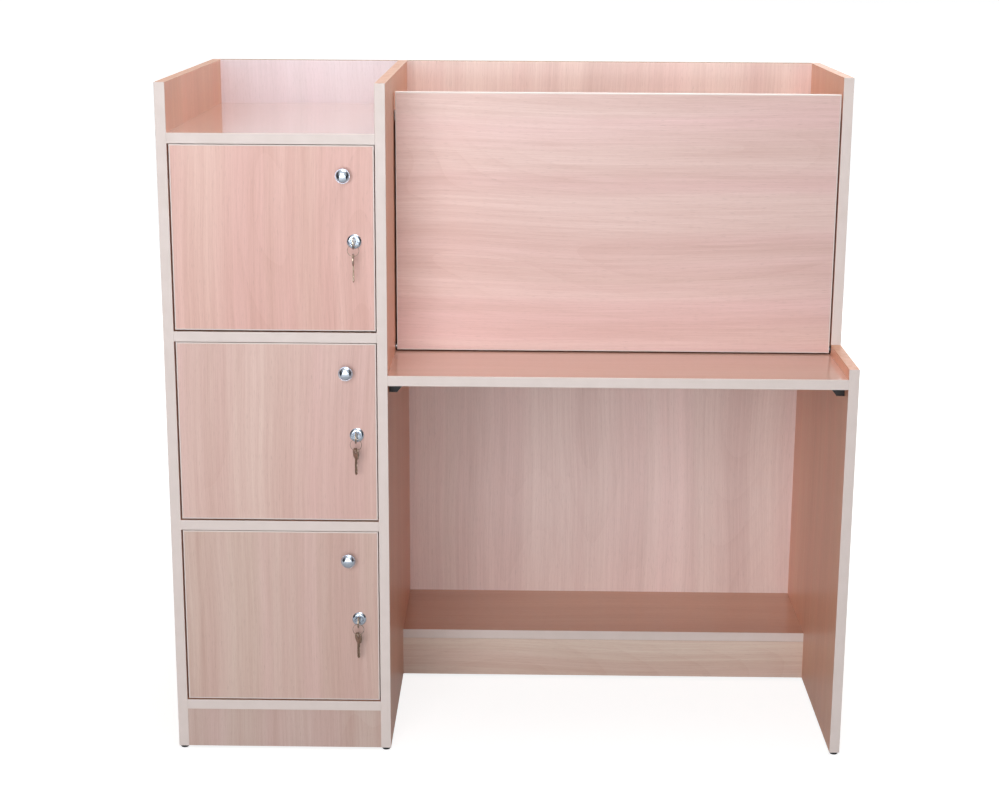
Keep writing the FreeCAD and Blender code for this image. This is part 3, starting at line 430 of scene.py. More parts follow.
GLIDE_RADIUS = 0.0075
GLIDE_HEIGHT = 0.005
GLIDE_ROUND = 0.0018
WELL_RADIUS = 0.003
WELL_DEPTH = 0.0016
NAIL_HEAD_RADIUS = 0.0026
NAIL_HEAD_HEIGHT = 0.0011
black_plastic = moulded("black_plastic", tone(34, 35, 38), tone(22, 22, 24), 0.5, grit_depth=0.0004)
zinc_plate = plated("zinc_plate", tone(198, 201, 206), tone(160, 163, 170), 0.3, scratch=0.1)
glide_shape = turned([
    (WELL_RADIUS, WELL_DEPTH),
    (WELL_RADIUS, GLIDE_ROUND / 4),
    (WELL_RADIUS + GLIDE_ROUND / 4, 0.0),
    *arc((GLIDE_RADIUS - GLIDE_ROUND, GLIDE_ROUND), GLIDE_ROUND, -90, 0),
    (GLIDE_RADIUS, GLIDE_HEIGHT),
])
nail_shape = turned([
    (NAIL_HEAD_RADIUS / 3, WELL_DEPTH - NAIL_HEAD_HEIGHT),
    (NAIL_HEAD_RADIUS * 0.8, WELL_DEPTH - NAIL_HEAD_HEIGHT * 0.8),
    (NAIL_HEAD_RADIUS, WELL_DEPTH - NAIL_HEAD_HEIGHT * 0.3),
    (NAIL_HEAD_RADIUS, WELL_DEPTH),
], count=24)
glide_places = []
for corners in solids("foot_glides"):
    low, high = reach_of(corners)
    middle = (low + high) / 2
    glide_places.append(stand((middle.x, middle.y, low.z), UPWARDS, REARWARDS))
make_piece("moulded_glides", [(glide_shape, place) for place in glide_places],
           black_plastic, "black_plastic", "carcass", "foot_glides")
make_piece("glide_nails", [(nail_shape, place) for place in glide_places],
           zinc_plate, "zinc", "carcass", "foot_glides")


# Cam connectors: a zinc cam in a hole in each end of a level board grips the head of a steel bolt
# that is screwed into the panel. A cross recess in the cam's face takes the driver that turns it.
CROSS_WIDTH = 0.3
CROSS_TAPER = 0.7


def cross_ring(reach, height):
    """The edge of a cross recess with arms of the given reach."""
    half = reach * CROSS_WIDTH
    lean = math.atan2(half, reach)
    between = (lean + math.pi / 4) / 2
    edge = []
    for quarter in range(4):
        for step in (-lean, 0.0, lean, between, math.pi / 4, math.pi / 2 - between):
            angle = quarter * math.pi / 2 + step
            across = max(abs(math.cos(angle)), SAME_PLACE)
            upright = max(abs(math.sin(angle)), SAME_PLACE)
            out = max(min(reach / across, half / upright), min(half / across, reach / upright))
            edge.append((out * math.cos(angle), out * math.sin(angle), height))
    return edge


def cross_headed(outline, reach, depth):
    """A turned shape with a cross recess in its last face."""
    top = outline[-1][1]
    mouth = cross_ring(reach, top)
    angles = [math.atan2(point[1], point[0]) for point in mouth]
    rings = [ring_of(radius, height, angles) for radius, height in outline]
    return ringed(rings + [mouth, cross_ring(reach * CROSS_TAPER, top - depth)])


def ridged(start, end, pitch, radius, core):
    """The outline of a thread, as ridges on a core."""
    count = int(abs(end - start) / pitch)
    step = (end - start) / count
    outline = []
    for i in range(count):
        outline += [(core, start + i * step), (radius, start + (i + 0.5) * step)]
    return outline


CAM_RADIUS = 0.0075
CAM_HEIGHT = 0.0125
CAM_RIM = 0.0009
CAM_DISH = 0.0005
CAM_EASE = 0.0003
CAM_INSET = 0.06
BOLT_REACH = 0.034
BOLT_BITE = 0.008
BOLT_RADIUS = 0.003
BOLT_CORE = 0.0022
BOLT_PITCH = 0.002
EDGE_BAND = 0.001
cam_shape = cross_headed([
    (CAM_RADIUS, -CAM_HEIGHT),
    (CAM_RADIUS, -CAM_EASE),
    (CAM_RADIUS - CAM_EASE, 0.0),
    (CAM_RADIUS - CAM_RIM, 0.0),
    (CAM_RADIUS - CAM_RIM - CAM_EASE, -CAM_DISH),
], CAM_RADIUS * 0.55, CAM_HEIGHT * 0.25)
bolt_shape = turned([
    (BOLT_CORE / 2, -BOLT_BITE),
    *ridged(BOLT_CORE - BOLT_BITE, 0.0, BOLT_PITCH, BOLT_RADIUS, BOLT_CORE),
    (BOLT_RADIUS, 0.0),
    (BOLT_RADIUS, BOLT_RADIUS / 2),
    (BOLT_CORE, BOLT_RADIUS),
    (BOLT_CORE, BOLT_REACH - 3 * BOLT_RADIUS),
    *arc((0.0, BOLT_REACH - 2 * BOLT_RADIUS), BOLT_RADIUS, -43, 80),
], count=20)
cam_places = []
bolt_places = []
for board in ("locker_tray_shelf", *SHELVES):
    low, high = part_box(board)
    for y in (low.y - EDGE_BAND + CAM_INSET, high.y - CAM_INSET):
        for x, inwards, sign in ((low.x, RIGHTWARDS, 1), (high.x, LEFTWARDS, -1)):
            cam_places.append(stand((x + sign * BOLT_REACH, y, low.z), DOWNWARDS, REARWARDS))
            bolt_places.append(stand((x, y, (low.z + high.z) / 2), inwards))
make_piece("connector_cams", [(cam_shape, place) for place in cam_places],
           zinc_plate, "zinc", "carcass", "panel_connectors")
make_piece("connector_bolts", [(bolt_shape, place) for place in bolt_places],
           zinc_plate, "zinc", "carcass", "panel_connectors")


# Corner brackets: four gussets moulded in black plastic in the corners under the desktop, each with
# a deep well for one screw up into the top and another for one sideways into the panel.
def eased_solid(node, ease, steps=2):
    """A node's own solids as skins with their sharp edges eased over."""
    skin = bmesh.new()
    skin.from_mesh(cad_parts[node].data)
    bmesh.ops.remove_doubles(skin, verts=skin.verts, dist=SAME_PLACE)
    bmesh.ops.dissolve_limit(skin, angle_limit=math.radians(1), verts=skin.verts, edges=skin.edges)
    sharp = [edge for edge in skin.edges if edge.is_manifold and edge.calc_face_angle() > CREASE]
    bmesh.ops.bevel(skin, geom=sharp, offset=ease, segments=steps, profile=0.5, affect="EDGES",
                    clamp_overlap=True)
    skin.verts.index_update()
    points = [corner.co.copy() for corner in skin.verts]
    faces = [tuple(corner.index for corner in face.verts) for face in skin.faces]
    skin.free()
    return points, faces


BRACKET_EASE = 0.0009
make_piece("moulded_brackets", [(eased_solid("corner_brackets", BRACKET_EASE), AS_IT_IS)],
           black_plastic, "black_plastic", "carcass", "corner_brackets")


# Screws: countersunk wood screws of plated steel with cross recesses. They hold the backs to the
# level boards, the brackets to the desktop and the panels, and the hinge plates to the left panel.
SCREW_RADIUS = 0.00175
SCREW_CORE = 0.0013
SCREW_HEAD_RADIUS = 0.0035
SCREW_HEAD = 0.002
SCREW_PITCH = 0.0025
SCREW_LIP = 0.0002


def wood_screw(length):
    """A countersunk screw: the middle of its face at the origin, its point below."""
    return cross_headed([
        (SCREW_CORE / 6, -length),
        *ridged(2 * SCREW_RADIUS - length, -SCREW_HEAD - SCREW_PITCH, SCREW_PITCH, SCREW_RADIUS,
                SCREW_CORE),
        (SCREW_CORE, -SCREW_HEAD),
        (SCREW_HEAD_RADIUS, -SCREW_LIP),
        (SCREW_HEAD_RADIUS - SCREW_LIP, 0.0),
    ], SCREW_HEAD_RADIUS * 0.58, SCREW_HEAD * 0.7)


def screw_in_place(corners):
    """A screw that takes the place of a plain one, its head where the wider end is."""
    low, high = reach_of(corners)
    size = high - low
    along = max(range(3), key=lambda i: size[i])
    middle = (low + high) / 2
    axis = Vector()
    for end, way in ((low, -1.0), (high, 1.0)):
        face = [corner for corner in corners if abs(corner[along] - end[along]) < SCREW_LIP]
        face_low, face_high = reach_of(face)
        if max(face_high - face_low) > 3 * SCREW_RADIUS:
            middle[along] = end[along]
            axis[along] = way
    return wood_screw(size[along]), stand(middle, axis, REARWARDS if along == 2 else UPWARDS)


make_piece("cross_recess_screws", [screw_in_place(corners) for corners in solids("carcass_screws")],
           zinc_plate, "zinc", "carcass", "carcass_screws")

# Flap: a board banded on all four edges, grain from side to side, that closes the hutch and folds
# down onto the desktop.
flap_print = beech_board("flap_beech", "X", "Y", tone(232, 206, 199), tone(207, 169, 161),
                         tone(233, 196, 195), figure=1.4)
wear_finish(flap_print, "flap_board")
wear_finish(pale_band, "flap_edging")

# Flap pivots: a steel pin in each side of the flap near its bottom edge turns in a flanged bush of
# black plastic that is pressed into the panel.
PIN_EASE = 0.0004
BUSH_BORE = 0.00255
BUSH_RADIUS = 0.005
BUSH_FLANGE_RADIUS = 0.007
BUSH_FLANGE = 0.001
BUSH_LENGTH = 0.01
BUSH_EASE = 0.0003
pin_parts = []
for corners in solids("flap_pivot_pins"):
    low, high = reach_of(corners)
    radius = (high.z - low.z) / 2
    length = high.x - low.x
    pin_shape = turned([(radius - PIN_EASE, 0.0), (radius, PIN_EASE), (radius, length - PIN_EASE),
                        (radius - PIN_EASE, length)], count=32)
    middle = (low + high) / 2
    pin_parts.append((pin_shape, stand((low.x, middle.y, middle.z), RIGHTWARDS)))
make_piece("turned_pivot_pins", pin_parts, zinc_plate, "zinc", "flap", "flap_pivot_pins")
bush_shape = turned([
    (BUSH_BORE + BUSH_EASE, BUSH_FLANGE),
    *arc((BUSH_FLANGE_RADIUS - BUSH_EASE, BUSH_FLANGE - BUSH_EASE), BUSH_EASE, 90, 0, steps=3),
    (BUSH_FLANGE_RADIUS, 0.0),
    (BUSH_RADIUS, 0.0),
    (BUSH_RADIUS, -BUSH_LENGTH),
    (BUSH_BORE, -BUSH_LENGTH),
    (BUSH_BORE, BUSH_FLANGE - BUSH_EASE),
], closed=True)
bush_parts = []
flap_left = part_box("flap_board")[0].x
for corners in solids("flap_bushes"):
    low, high = reach_of(corners)
    middle = (low + high) / 2
    if middle.x < flap_left:
        bush_parts.append((bush_shape, stand((high.x - BUSH_FLANGE, middle.y, middle.z), RIGHTWARDS)))
    else:
        bush_parts.append((bush_shape, stand((low.x + BUSH_FLANGE, middle.y, middle.z), LEFTWARDS)))
make_piece("flanged_bushes", bush_parts, black_plastic, "black_plastic", "carcass", "flap_bushes")


# Catches: two magnets in white plastic cases, screwed up under the hutch top, each with two steel
# pole strips in its face, and the steel strike plates on the flap that they hold.
def plate(outlines, thickness, ease):
    """A flat plate about the level of the origin: a left-turning outline and right-turning holes."""
    points = []
    faces = []
    rims = []
    low_corners = []
    high_corners = []
    for outline in outlines:
        count = len(outline)
        eased = []
        for i, here in enumerate(outline):
            before = (Vector(here) - Vector(outline[i - 1])).normalized()
            after = (Vector(outline[(i + 1) % count]) - Vector(here)).normalized()
            inwards = Vector((-before.y - after.y, before.x + after.x))
            eased.append(Vector(here) + inwards * ease / max(inwards.length_squared / 2, 0.5))
        half = thickness / 2
        start = len(points)
        for loop, height in ((eased, -half), (outline, ease - half), (outline, half - ease),
                             (eased, half)):
            points += [(point[0], point[1], height) for point in loop]
        for level in range(3):
            for i in range(count):
                here = start + level * count + i
                after = start + level * count + (i + 1) % count
                faces.append((here, after, after + count, here + count))
        rims.append([Vector(point) for point in points[start:start + count]])
        low_corners += range(start, start + count)
        high_corners += range(start + 3 * count, start + 4 * count)
    for triangle in tessellate_polygon(rims):
        faces.append(tuple(low_corners[i] for i in triangle))
        faces.append(tuple(high_corners[i] for i in triangle))
    return points, faces


def rounded_outline(width, height, radius):
    """A rectangle about the origin with round corners, left-turning."""
    across = width / 2 - radius
    upright = height / 2 - radius
    corners = ((across, upright, 0), (-across, upright, 90), (-across, -upright, 180),
               (across, -upright, 270))
    return [point for x, y, turn in corners for point in arc((x, y), radius, turn, turn + 90)]


CATCH_EASE = 0.0012
POLE_LENGTH = 0.032
POLE_WIDTH = 0.0022
POLE_GAP = 0.0052
POLE_PROUD = 0.0002
POLE_DEPTH = 0.004
CATCH_SCREW_INSET = 0.007
STRIKE_EASE = 0.0003
STRIKE_SCREW = 0.012
pole_shape = plate([rounded_outline(POLE_LENGTH, POLE_WIDTH, POLE_WIDTH / 4)], POLE_DEPTH, STRIKE_EASE)
pole_parts = []
catch_screws = []
for corners in solids("magnetic_catches"):
    low, high = reach_of(corners)
    middle = (low + high) / 2
    for side in (-1, 1):
        pole_at = (middle.x, low.y - POLE_PROUD + POLE_DEPTH / 2, middle.z + side * POLE_GAP / 2)
        pole_parts.append((pole_shape, stand(pole_at, FRONTWARDS)))
        screw_at = (middle.x + side * (high.x - middle.x - CATCH_SCREW_INSET), middle.y, low.z)
        catch_screws.append((wood_screw(high.z - low.z), stand(screw_at, DOWNWARDS, REARWARDS)))
white_plastic = moulded("white_plastic", tone(230, 228, 222), tone(219, 216, 208), 0.4)
make_piece("catch_cases", [(eased_solid("magnetic_catches", CATCH_EASE), AS_IT_IS)],
           white_plastic, "white_plastic", "carcass", "magnetic_catches")
make_piece("catch_steel", pole_parts + catch_screws, zinc_plate, "zinc", "carcass", "magnetic_catches")
strike_screws = []
for corners in solids("flap_strike_plates"):
    low, high = reach_of(corners)
    middle = (low + high) / 2
    screw_at = (middle.x, high.y + STRIKE_EASE / 2, middle.z)
    strike_screws.append((wood_screw(STRIKE_SCREW), stand(screw_at, REARWARDS)))
strike_solid = (eased_solid("flap_strike_plates", STRIKE_EASE), AS_IT_IS)
make_piece("strike_plates", [strike_solid, *strike_screws], zinc_plate, "zinc", "flap",
           "flap_strike_plates")

# Doors: three boards with the grain upright, one set into the front of each locker. A thicker band
# runs round all four edges and shows as a pale line beside the gap.
# The door tones grow darker from the upper door to the lower one: painted shade lower down.
LOCKERS = ("lower", "middle", "upper")
DOOR_TONES_WITH_SHADE = {
    "lower": (tone(218, 195, 183), tone(195, 158, 146), tone(219, 185, 179)),
    "middle": (tone(227, 200, 189), tone(203, 162, 152), tone(228, 190, 185)),
    "upper": (tone(233, 197, 185), tone(209, 160, 148), tone(234, 187, 181)),
}
for locker in LOCKERS:
    door_print_and_shade = beech_board(f"{locker}_door_beech_and_shade", "Z", "Y", *DOOR_TONES_WITH_SHADE[locker])
    wear_finish(door_print_and_shade, f"{locker}_door_board")
    wear_finish(pale_band, f"{locker}_door_edging")

# Hinge arms: pressed steel arms on plates that are screwed to the left panel. Each bends round the
# door's edge to an eye on the cup's pin, and has two screws that set the door.
ARM_EASE = 0.0004
SET_SCREW_RADIUS = 0.0032
SET_SCREW_HEIGHT = 0.0007
SET_SCREW_PLACES = (0.2, 0.8)
hinge_steel = plated("hinge_steel", tone(206, 207, 208), tone(176, 178, 182), 0.22, scratch=0.05)
set_screw_shape = cross_headed([
    (SET_SCREW_RADIUS, -SET_SCREW_HEIGHT),
    (SET_SCREW_RADIUS, SET_SCREW_HEIGHT * 0.6),
    (SET_SCREW_RADIUS * 0.9, SET_SCREW_HEIGHT),
], SET_SCREW_RADIUS * 0.7, SET_SCREW_HEIGHT)
panel_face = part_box("left_side_panel")[1].x
ARM_FOOT = 0.0035
ARM_LENGTH = 0.047
arm_parts = [(eased_solid("hinge_arms", ARM_EASE), AS_IT_IS)]
hinge_heights = []
for corners in solids("hinge_arms"):
    low, high = reach_of(corners)
    middle = (low + high) / 2
    hinge_heights.append(middle.z)
    for share in SET_SCREW_PLACES:
        screw_at = (panel_face + ARM_FOOT, high.y - ARM_LENGTH * share, middle.z)
        arm_parts.append((set_screw_shape, stand(screw_at, RIGHTWARDS)))
make_piece("hinge_arms_with_plates", arm_parts, hinge_steel, "hinge_steel", "carcass", "hinge_arms")

# Hinge cups: pressed steel bowls sunk in the backs of the doors, each with a pin across it and two
# tabs for its screws.
CUP_RADIUS = 0.0175
CUP_WALL = 0.001
CUP_DEPTH = 0.0115
CUP_ROUND = 0.0025
CUP_LIP = 0.0007
CUP_LIP_HEIGHT = 0.0006
TAB_WIDTH = 0.02
TAB_HEIGHT = 0.013
TAB_MIDDLE = 0.0235
TAB_THICKNESS = 0.001
CUP_SCREW_OUT = 0.024
FITTING_SCREW = 0.013
HINGE_PIN_RADIUS = 0.0015
HINGE_PIN_IN = 0.007
cup_shape = turned([
    (CUP_WALL, CUP_WALL - CUP_DEPTH),
    *arc((CUP_RADIUS - CUP_WALL - CUP_ROUND, CUP_WALL - CUP_DEPTH + CUP_ROUND), CUP_ROUND, -90, 0),
    *arc((CUP_RADIUS - CUP_WALL + CUP_LIP_HEIGHT, 0.0), CUP_LIP_HEIGHT, 180, 90),
    (CUP_RADIUS + CUP_LIP - CUP_LIP_HEIGHT / 2, CUP_LIP_HEIGHT),
    (CUP_RADIUS + CUP_LIP, CUP_LIP_HEIGHT / 2),
    (CUP_RADIUS + CUP_LIP, 0.0),
    (CUP_RADIUS, 0.0),
    *arc((CUP_RADIUS - CUP_ROUND, CUP_ROUND - CUP_DEPTH), CUP_ROUND, 0, -90),
    (CUP_WALL, -CUP_DEPTH),
])
tab_shape = plate([rounded_outline(TAB_WIDTH, TAB_HEIGHT, TAB_HEIGHT * 0.4)], TAB_THICKNESS,
                  TAB_THICKNESS / 4)
cup_pin_length = 2 * (CUP_RADIUS - CUP_WALL)
cup_pin_shape = turned([(HINGE_PIN_RADIUS, 0.0), (HINGE_PIN_RADIUS, cup_pin_length)], count=24)
cup_screw_places = {locker: [] for locker in LOCKERS}
for locker in LOCKERS:
    low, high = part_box(f"{locker}_hinge_cups")
    door_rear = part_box(f"{locker}_door_board")[1].y
    pin_x = (low.x + high.x) / 2
    cup_parts = []
    for height in hinge_heights:
        if not low.z < height < high.z:
            continue
        cup_parts.append((cup_shape, stand((pin_x, door_rear, height), REARWARDS)))
        pin_at = (pin_x, door_rear - HINGE_PIN_IN, height - cup_pin_length / 2)
        cup_parts.append((cup_pin_shape, stand(pin_at, UPWARDS, REARWARDS)))
        for side in (-1, 1):
            tab_at = (pin_x, door_rear + TAB_THICKNESS / 2, height + side * TAB_MIDDLE)
            cup_parts.append((tab_shape, stand(tab_at, REARWARDS)))
            screw_at = (pin_x, door_rear + TAB_THICKNESS, height + side * CUP_SCREW_OUT)
            cup_screw_places[locker].append(stand(screw_at, REARWARDS))
    make_piece(f"{locker}_pressed_cups", cup_parts, hinge_steel, "hinge_steel", f"{locker}_door",
               f"{locker}_hinge_cups")

# Knobs: turned brass under chrome, a domed head with a rounded rim on a waisted neck, each held by
# a screw from inside the door.
KNOB_LENGTH = 0.022
KNOB_RADIUS = 0.0125
KNOB_FOOT_RADIUS = 0.008
KNOB_FOOT = 0.0025
KNOB_NECK_RADIUS = 0.005
KNOB_HEAD_BACK = 0.014
KNOB_RIM = 0.0005
KNOB_GROOVE = 0.00015
KNOB_DOME_RADIUS = 0.0117
KNOB_DOME_START = 0.0155
KNOB_WAIST = 0.0022
DOME_STEPS = 14
chrome_plate = plated("chrome_plate", tone(197, 207, 219), tone(181, 191, 205), 0.07)
dome = []
for i in range(DOME_STEPS):
    lean = math.pi / 2 * i / DOME_STEPS
    dome.append((KNOB_DOME_RADIUS * math.cos(lean),
                 KNOB_DOME_START + (KNOB_LENGTH - KNOB_DOME_START) * math.sin(lean)))
knob_shape = turned([
    (KNOB_FOOT_RADIUS, 0.0),
    *arc((KNOB_FOOT_RADIUS - KNOB_FOOT / 2, KNOB_FOOT / 2), KNOB_FOOT / 2, 0, 90, steps=4),
    *arc((KNOB_NECK_RADIUS + KNOB_WAIST, KNOB_FOOT + KNOB_WAIST), KNOB_WAIST, 270, 180),
    *arc((KNOB_NECK_RADIUS + KNOB_WAIST, KNOB_HEAD_BACK - KNOB_WAIST), KNOB_WAIST, 180, 90),
    *arc((KNOB_RADIUS - KNOB_RIM, KNOB_HEAD_BACK + 2 * KNOB_RIM), KNOB_RIM, -90, 120, steps=12),
    (KNOB_DOME_RADIUS + KNOB_GROOVE, KNOB_DOME_START - KNOB_GROOVE),
    *dome,
], count=64)
for locker in LOCKERS:
    low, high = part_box(f"{locker}_knob")
    at = ((low.x + high.x) / 2, high.y, (low.z + high.z) / 2)
    make_piece(f"{locker}_domed_knob", [(knob_shape, stand(at, FRONTWARDS))],
               chrome_plate, "lock_chrome", f"{locker}_door", f"{locker}_knob")

# Lock housings: a chromed rosette with turned rings on the door's face and a threaded barrel through
# the door, drawn tight by a hexagon nut behind it.
BARREL_RADIUS = 0.009
BARREL_LENGTH = 0.024
BARREL_CORE = 0.0085
BARREL_PITCH = 0.0015
ROSETTE_RADIUS = 0.0125
ROSETTE_HEIGHT = 0.004
ROSETTE_RIM = 0.0014
ROSETTE_SLOPE = 0.0032
ROSETTE_EASE = 0.0003
LOCK_BORE = 0.00555
GROOVE_RADIUS = 0.0076
GROOVE_WIDTH = 0.0007
housing_shape = turned([
    (LOCK_BORE, ROSETTE_HEIGHT - 2 * ROSETTE_EASE),
    (LOCK_BORE + 2 * ROSETTE_EASE, ROSETTE_HEIGHT),
    (GROOVE_RADIUS - GROOVE_WIDTH, ROSETTE_HEIGHT),
    *arc((GROOVE_RADIUS, ROSETTE_HEIGHT), GROOVE_WIDTH, 180, 360),
    (ROSETTE_RADIUS - ROSETTE_SLOPE - ROSETTE_EASE, ROSETTE_HEIGHT),
    (ROSETTE_RADIUS - ROSETTE_SLOPE, ROSETTE_HEIGHT - ROSETTE_EASE / 2),
    (ROSETTE_RADIUS - ROSETTE_SLOPE * 0.55, ROSETTE_HEIGHT - ROSETTE_RIM * 0.55),
    (ROSETTE_RADIUS - ROSETTE_SLOPE * 0.2, ROSETTE_HEIGHT - ROSETTE_RIM * 1.25),
    (ROSETTE_RADIUS, ROSETTE_RIM),
    (ROSETTE_RADIUS, ROSETTE_EASE),
    (ROSETTE_RADIUS - ROSETTE_EASE, 0.0),
    (BARREL_RADIUS, 0.0),
    *ridged(-ROSETTE_RIM, ROSETTE_RIM - BARREL_LENGTH, BARREL_PITCH, BARREL_RADIUS, BARREL_CORE),
    (BARREL_CORE, -BARREL_LENGTH),
    (LOCK_BORE, -BARREL_LENGTH),
], count=64, closed=True)
for locker in LOCKERS:
    low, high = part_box(f"{locker}_lock_housing")
    at = ((low.x + high.x) / 2, low.y + ROSETTE_HEIGHT, (low.z + high.z) / 2)
    make_piece(f"{locker}_lock_rosette", [(housing_shape, stand(at, FRONTWARDS))],
               chrome_plate, "lock_chrome", f"{locker}_door", f"{locker}_lock_housing")

# Door fixings: the pan-headed screw of each knob, the lock's nut and the screws of the hinge cups,
# all in plated steel.
NUT_RADIUS = 0.0135
NUT_HEIGHT = 0.004
NUT_EASE = 0.0006
KNOB_SCREW_HEAD_RADIUS = 0.004
KNOB_SCREW_HEAD = 0.0024
KNOB_SCREW_RADIUS = 0.002
KNOB_SCREW_LENGTH = 0.027
nut_shape = plate([
    [(NUT_RADIUS * math.cos(angle), NUT_RADIUS * math.sin(angle)) for angle in even_angles(6)],
    [(BARREL_RADIUS * math.cos(angle), -BARREL_RADIUS * math.sin(angle)) for angle in even_angles(48)],
], NUT_HEIGHT, NUT_EASE)
knob_screw_shape = cross_headed([
    (KNOB_SCREW_RADIUS * 0.6, -KNOB_SCREW_LENGTH),
    (KNOB_SCREW_RADIUS, KNOB_SCREW_RADIUS - KNOB_SCREW_LENGTH),
    (KNOB_SCREW_RADIUS, 0.0),
    (KNOB_SCREW_HEAD_RADIUS, 0.0),
    (KNOB_SCREW_HEAD_RADIUS, KNOB_SCREW_HEAD * 0.4),
    (KNOB_SCREW_HEAD_RADIUS * 0.88, KNOB_SCREW_HEAD * 0.85),
    (KNOB_SCREW_HEAD_RADIUS * 0.7, KNOB_SCREW_HEAD),
], KNOB_SCREW_HEAD_RADIUS * 0.55, KNOB_SCREW_HEAD * 0.6)
for locker in LOCKERS:
    door_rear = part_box(f"{locker}_door_board")[1].y
    knob_middle = sum(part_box(f"{locker}_knob"), Vector()) / 2
    lock_middle = sum(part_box(f"{locker}_lock_housing"), Vector()) / 2
    fixings = [
        (knob_screw_shape, stand((knob_middle.x, door_rear, knob_middle.z), REARWARDS)),
        (nut_shape, stand((lock_middle.x, door_rear + NUT_HEIGHT / 2, lock_middle.z), REARWARDS)),
    ]
    fixings += [(wood_screw(FITTING_SCREW), place) for place in cup_screw_places[locker]]
    make_piece(f"{locker}_door_screws_and_nut", fixings, zinc_plate, "zinc", f"{locker}_door",
               f"{locker}_door_fixings")

# Lock plugs and cams: the plug turns in the housing with the key in its slot, and the steel cam on
# its rear end swings into a mortise in the partition.
PLUG_RADIUS = 0.0055
PLUG_EASE = 0.0003
PLUG_LENGTH = 0.0284
STUB_RADIUS = 0.003
STUB_LENGTH = 0.0035
SLOT_WIDTH = 0.0022
SLOT_HEIGHT = 0.0067
SLOT_DEPTH = 0.0251
CAM_PLATE_EASE = 0.0004
slot_corner = math.atan2(SLOT_HEIGHT, SLOT_WIDTH)
slot_angles = sorted(even_angles(40) + [slot_corner, math.pi - slot_corner, math.pi + slot_corner,
                                        2 * math.pi - slot_corner])


def slot_ring(height):
    """The edge of the key slot."""
    edge = []
    for angle in slot_angles:
        across = max(abs(math.cos(angle)), SAME_PLACE)
        upright = max(abs(math.sin(angle)), SAME_PLACE)
        out = min(SLOT_WIDTH / 2 / across, SLOT_HEIGHT / 2 / upright)
        edge.append((out * math.cos(angle), out * math.sin(angle), height))
    return edge


plug_shape = ringed([
    ring_of(STUB_RADIUS, -PLUG_LENGTH - STUB_LENGTH, slot_angles),
    ring_of(STUB_RADIUS, -PLUG_LENGTH, slot_angles),
    ring_of(PLUG_RADIUS, -PLUG_LENGTH, slot_angles),
    ring_of(PLUG_RADIUS, -PLUG_EASE, slot_angles),
    ring_of(PLUG_RADIUS - PLUG_EASE, 0.0, slot_angles),
    slot_ring(0.0),
    slot_ring(-SLOT_DEPTH),
])
for locker in LOCKERS:
    low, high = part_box(f"{locker}_lock_plug")
    at = ((low.x + high.x) / 2, low.y, (low.z + high.z) / 2)
    make_piece(f"{locker}_slotted_plug", [(plug_shape, stand(at, FRONTWARDS))],
               chrome_plate, "lock_chrome", f"{locker}_lock", f"{locker}_lock_plug")
    make_piece(f"{locker}_cam_plate", [(eased_solid(f"{locker}_lock_cam", CAM_PLATE_EASE), AS_IT_IS)],
               zinc_plate, "zinc", f"{locker}_lock", f"{locker}_lock_cam")

# Keys: flat keys stamped from nickel-plated brass, worn brown where they are handled, with a round
# bow, a milled groove along the blade and four cuts. One is in the lock and one hangs from the ring.
KEY_THICKNESS = 0.002
KEY_WEB = 0.0009
KEY_EASE = 0.00015
BOW_RADIUS = 0.0105
BOW_HOLE_RADIUS = 0.0035
BOW_HOLE_OFFSET = 0.0035
BLADE_WIDTH = 0.0065
BLADE_LENGTH = 0.028
BLADE_POINT = 0.0025
TOOTH_PITCH = 0.0035
TOOTH_START = 0.009
TOOTH_DEPTHS = (0.0014, 0.0009, 0.0013, 0.0007)
TOOTH_FLAT = 0.0003
KEY_GROOVE_WIDTH = 0.0013
KEY_GROOVE_LIFT = 0.0008
KEY_GROOVE_MARGIN = 0.0035
SPARE_KEY_TURN = {"lower": 36, "middle": 30, "upper": 0}
half_blade = BLADE_WIDTH / 2
blade_lean = math.degrees(math.asin(half_blade / BOW_RADIUS))
shoulder = BOW_HOLE_OFFSET + BOW_RADIUS
key_tip = shoulder + BLADE_LENGTH
key_outline = arc((BOW_HOLE_OFFSET, 0.0), BOW_RADIUS, blade_lean, 360 - blade_lean, steps=44)
for tooth, tooth_depth in enumerate(TOOTH_DEPTHS):
    tooth_at = shoulder + TOOTH_START + tooth * TOOTH_PITCH
    key_outline += [(tooth_at - TOOTH_FLAT - tooth_depth, -half_blade),
                    (tooth_at - TOOTH_FLAT, tooth_depth - half_blade),
                    (tooth_at + TOOTH_FLAT, tooth_depth - half_blade),
                    (tooth_at + TOOTH_FLAT + tooth_depth, -half_blade)]
key_outline += [(key_tip - BLADE_POINT, -half_blade), (key_tip, 0.0),
                (key_tip - BLADE_POINT, half_blade)]
bow_hole = [(BOW_HOLE_RADIUS * math.cos(angle), -BOW_HOLE_RADIUS * math.sin(angle))
            for angle in even_angles(28)]
groove_half = KEY_GROOVE_WIDTH / 2
groove_start = shoulder + KEY_GROOVE_MARGIN / 3
groove_end = key_tip - KEY_GROOVE_MARGIN
groove_low = KEY_GROOVE_LIFT - groove_half
groove_high = KEY_GROOVE_LIFT + groove_half
key_groove = [(groove_start, groove_low), (groove_start, groove_high), (groove_end, groove_high),
              (groove_end, groove_low)]
key_face = (KEY_THICKNESS - KEY_WEB) / 2
web_shape = plate([key_outline, bow_hole], KEY_WEB, KEY_EASE / 2)
face_shape = plate([key_outline, bow_hole, key_groove], key_face, KEY_EASE)
key_layers = [(web_shape, AS_IT_IS)]
for side in (-1, 1):
    key_layers.append((face_shape, Matrix.Translation((0.0, 0.0, side * (KEY_WEB + key_face) / 2))))
worn_nickel = plated("worn_nickel", tone(168, 156, 142), tone(118, 100, 82), 0.28, cloud_scale=180.0,
                     scratch=0.15)
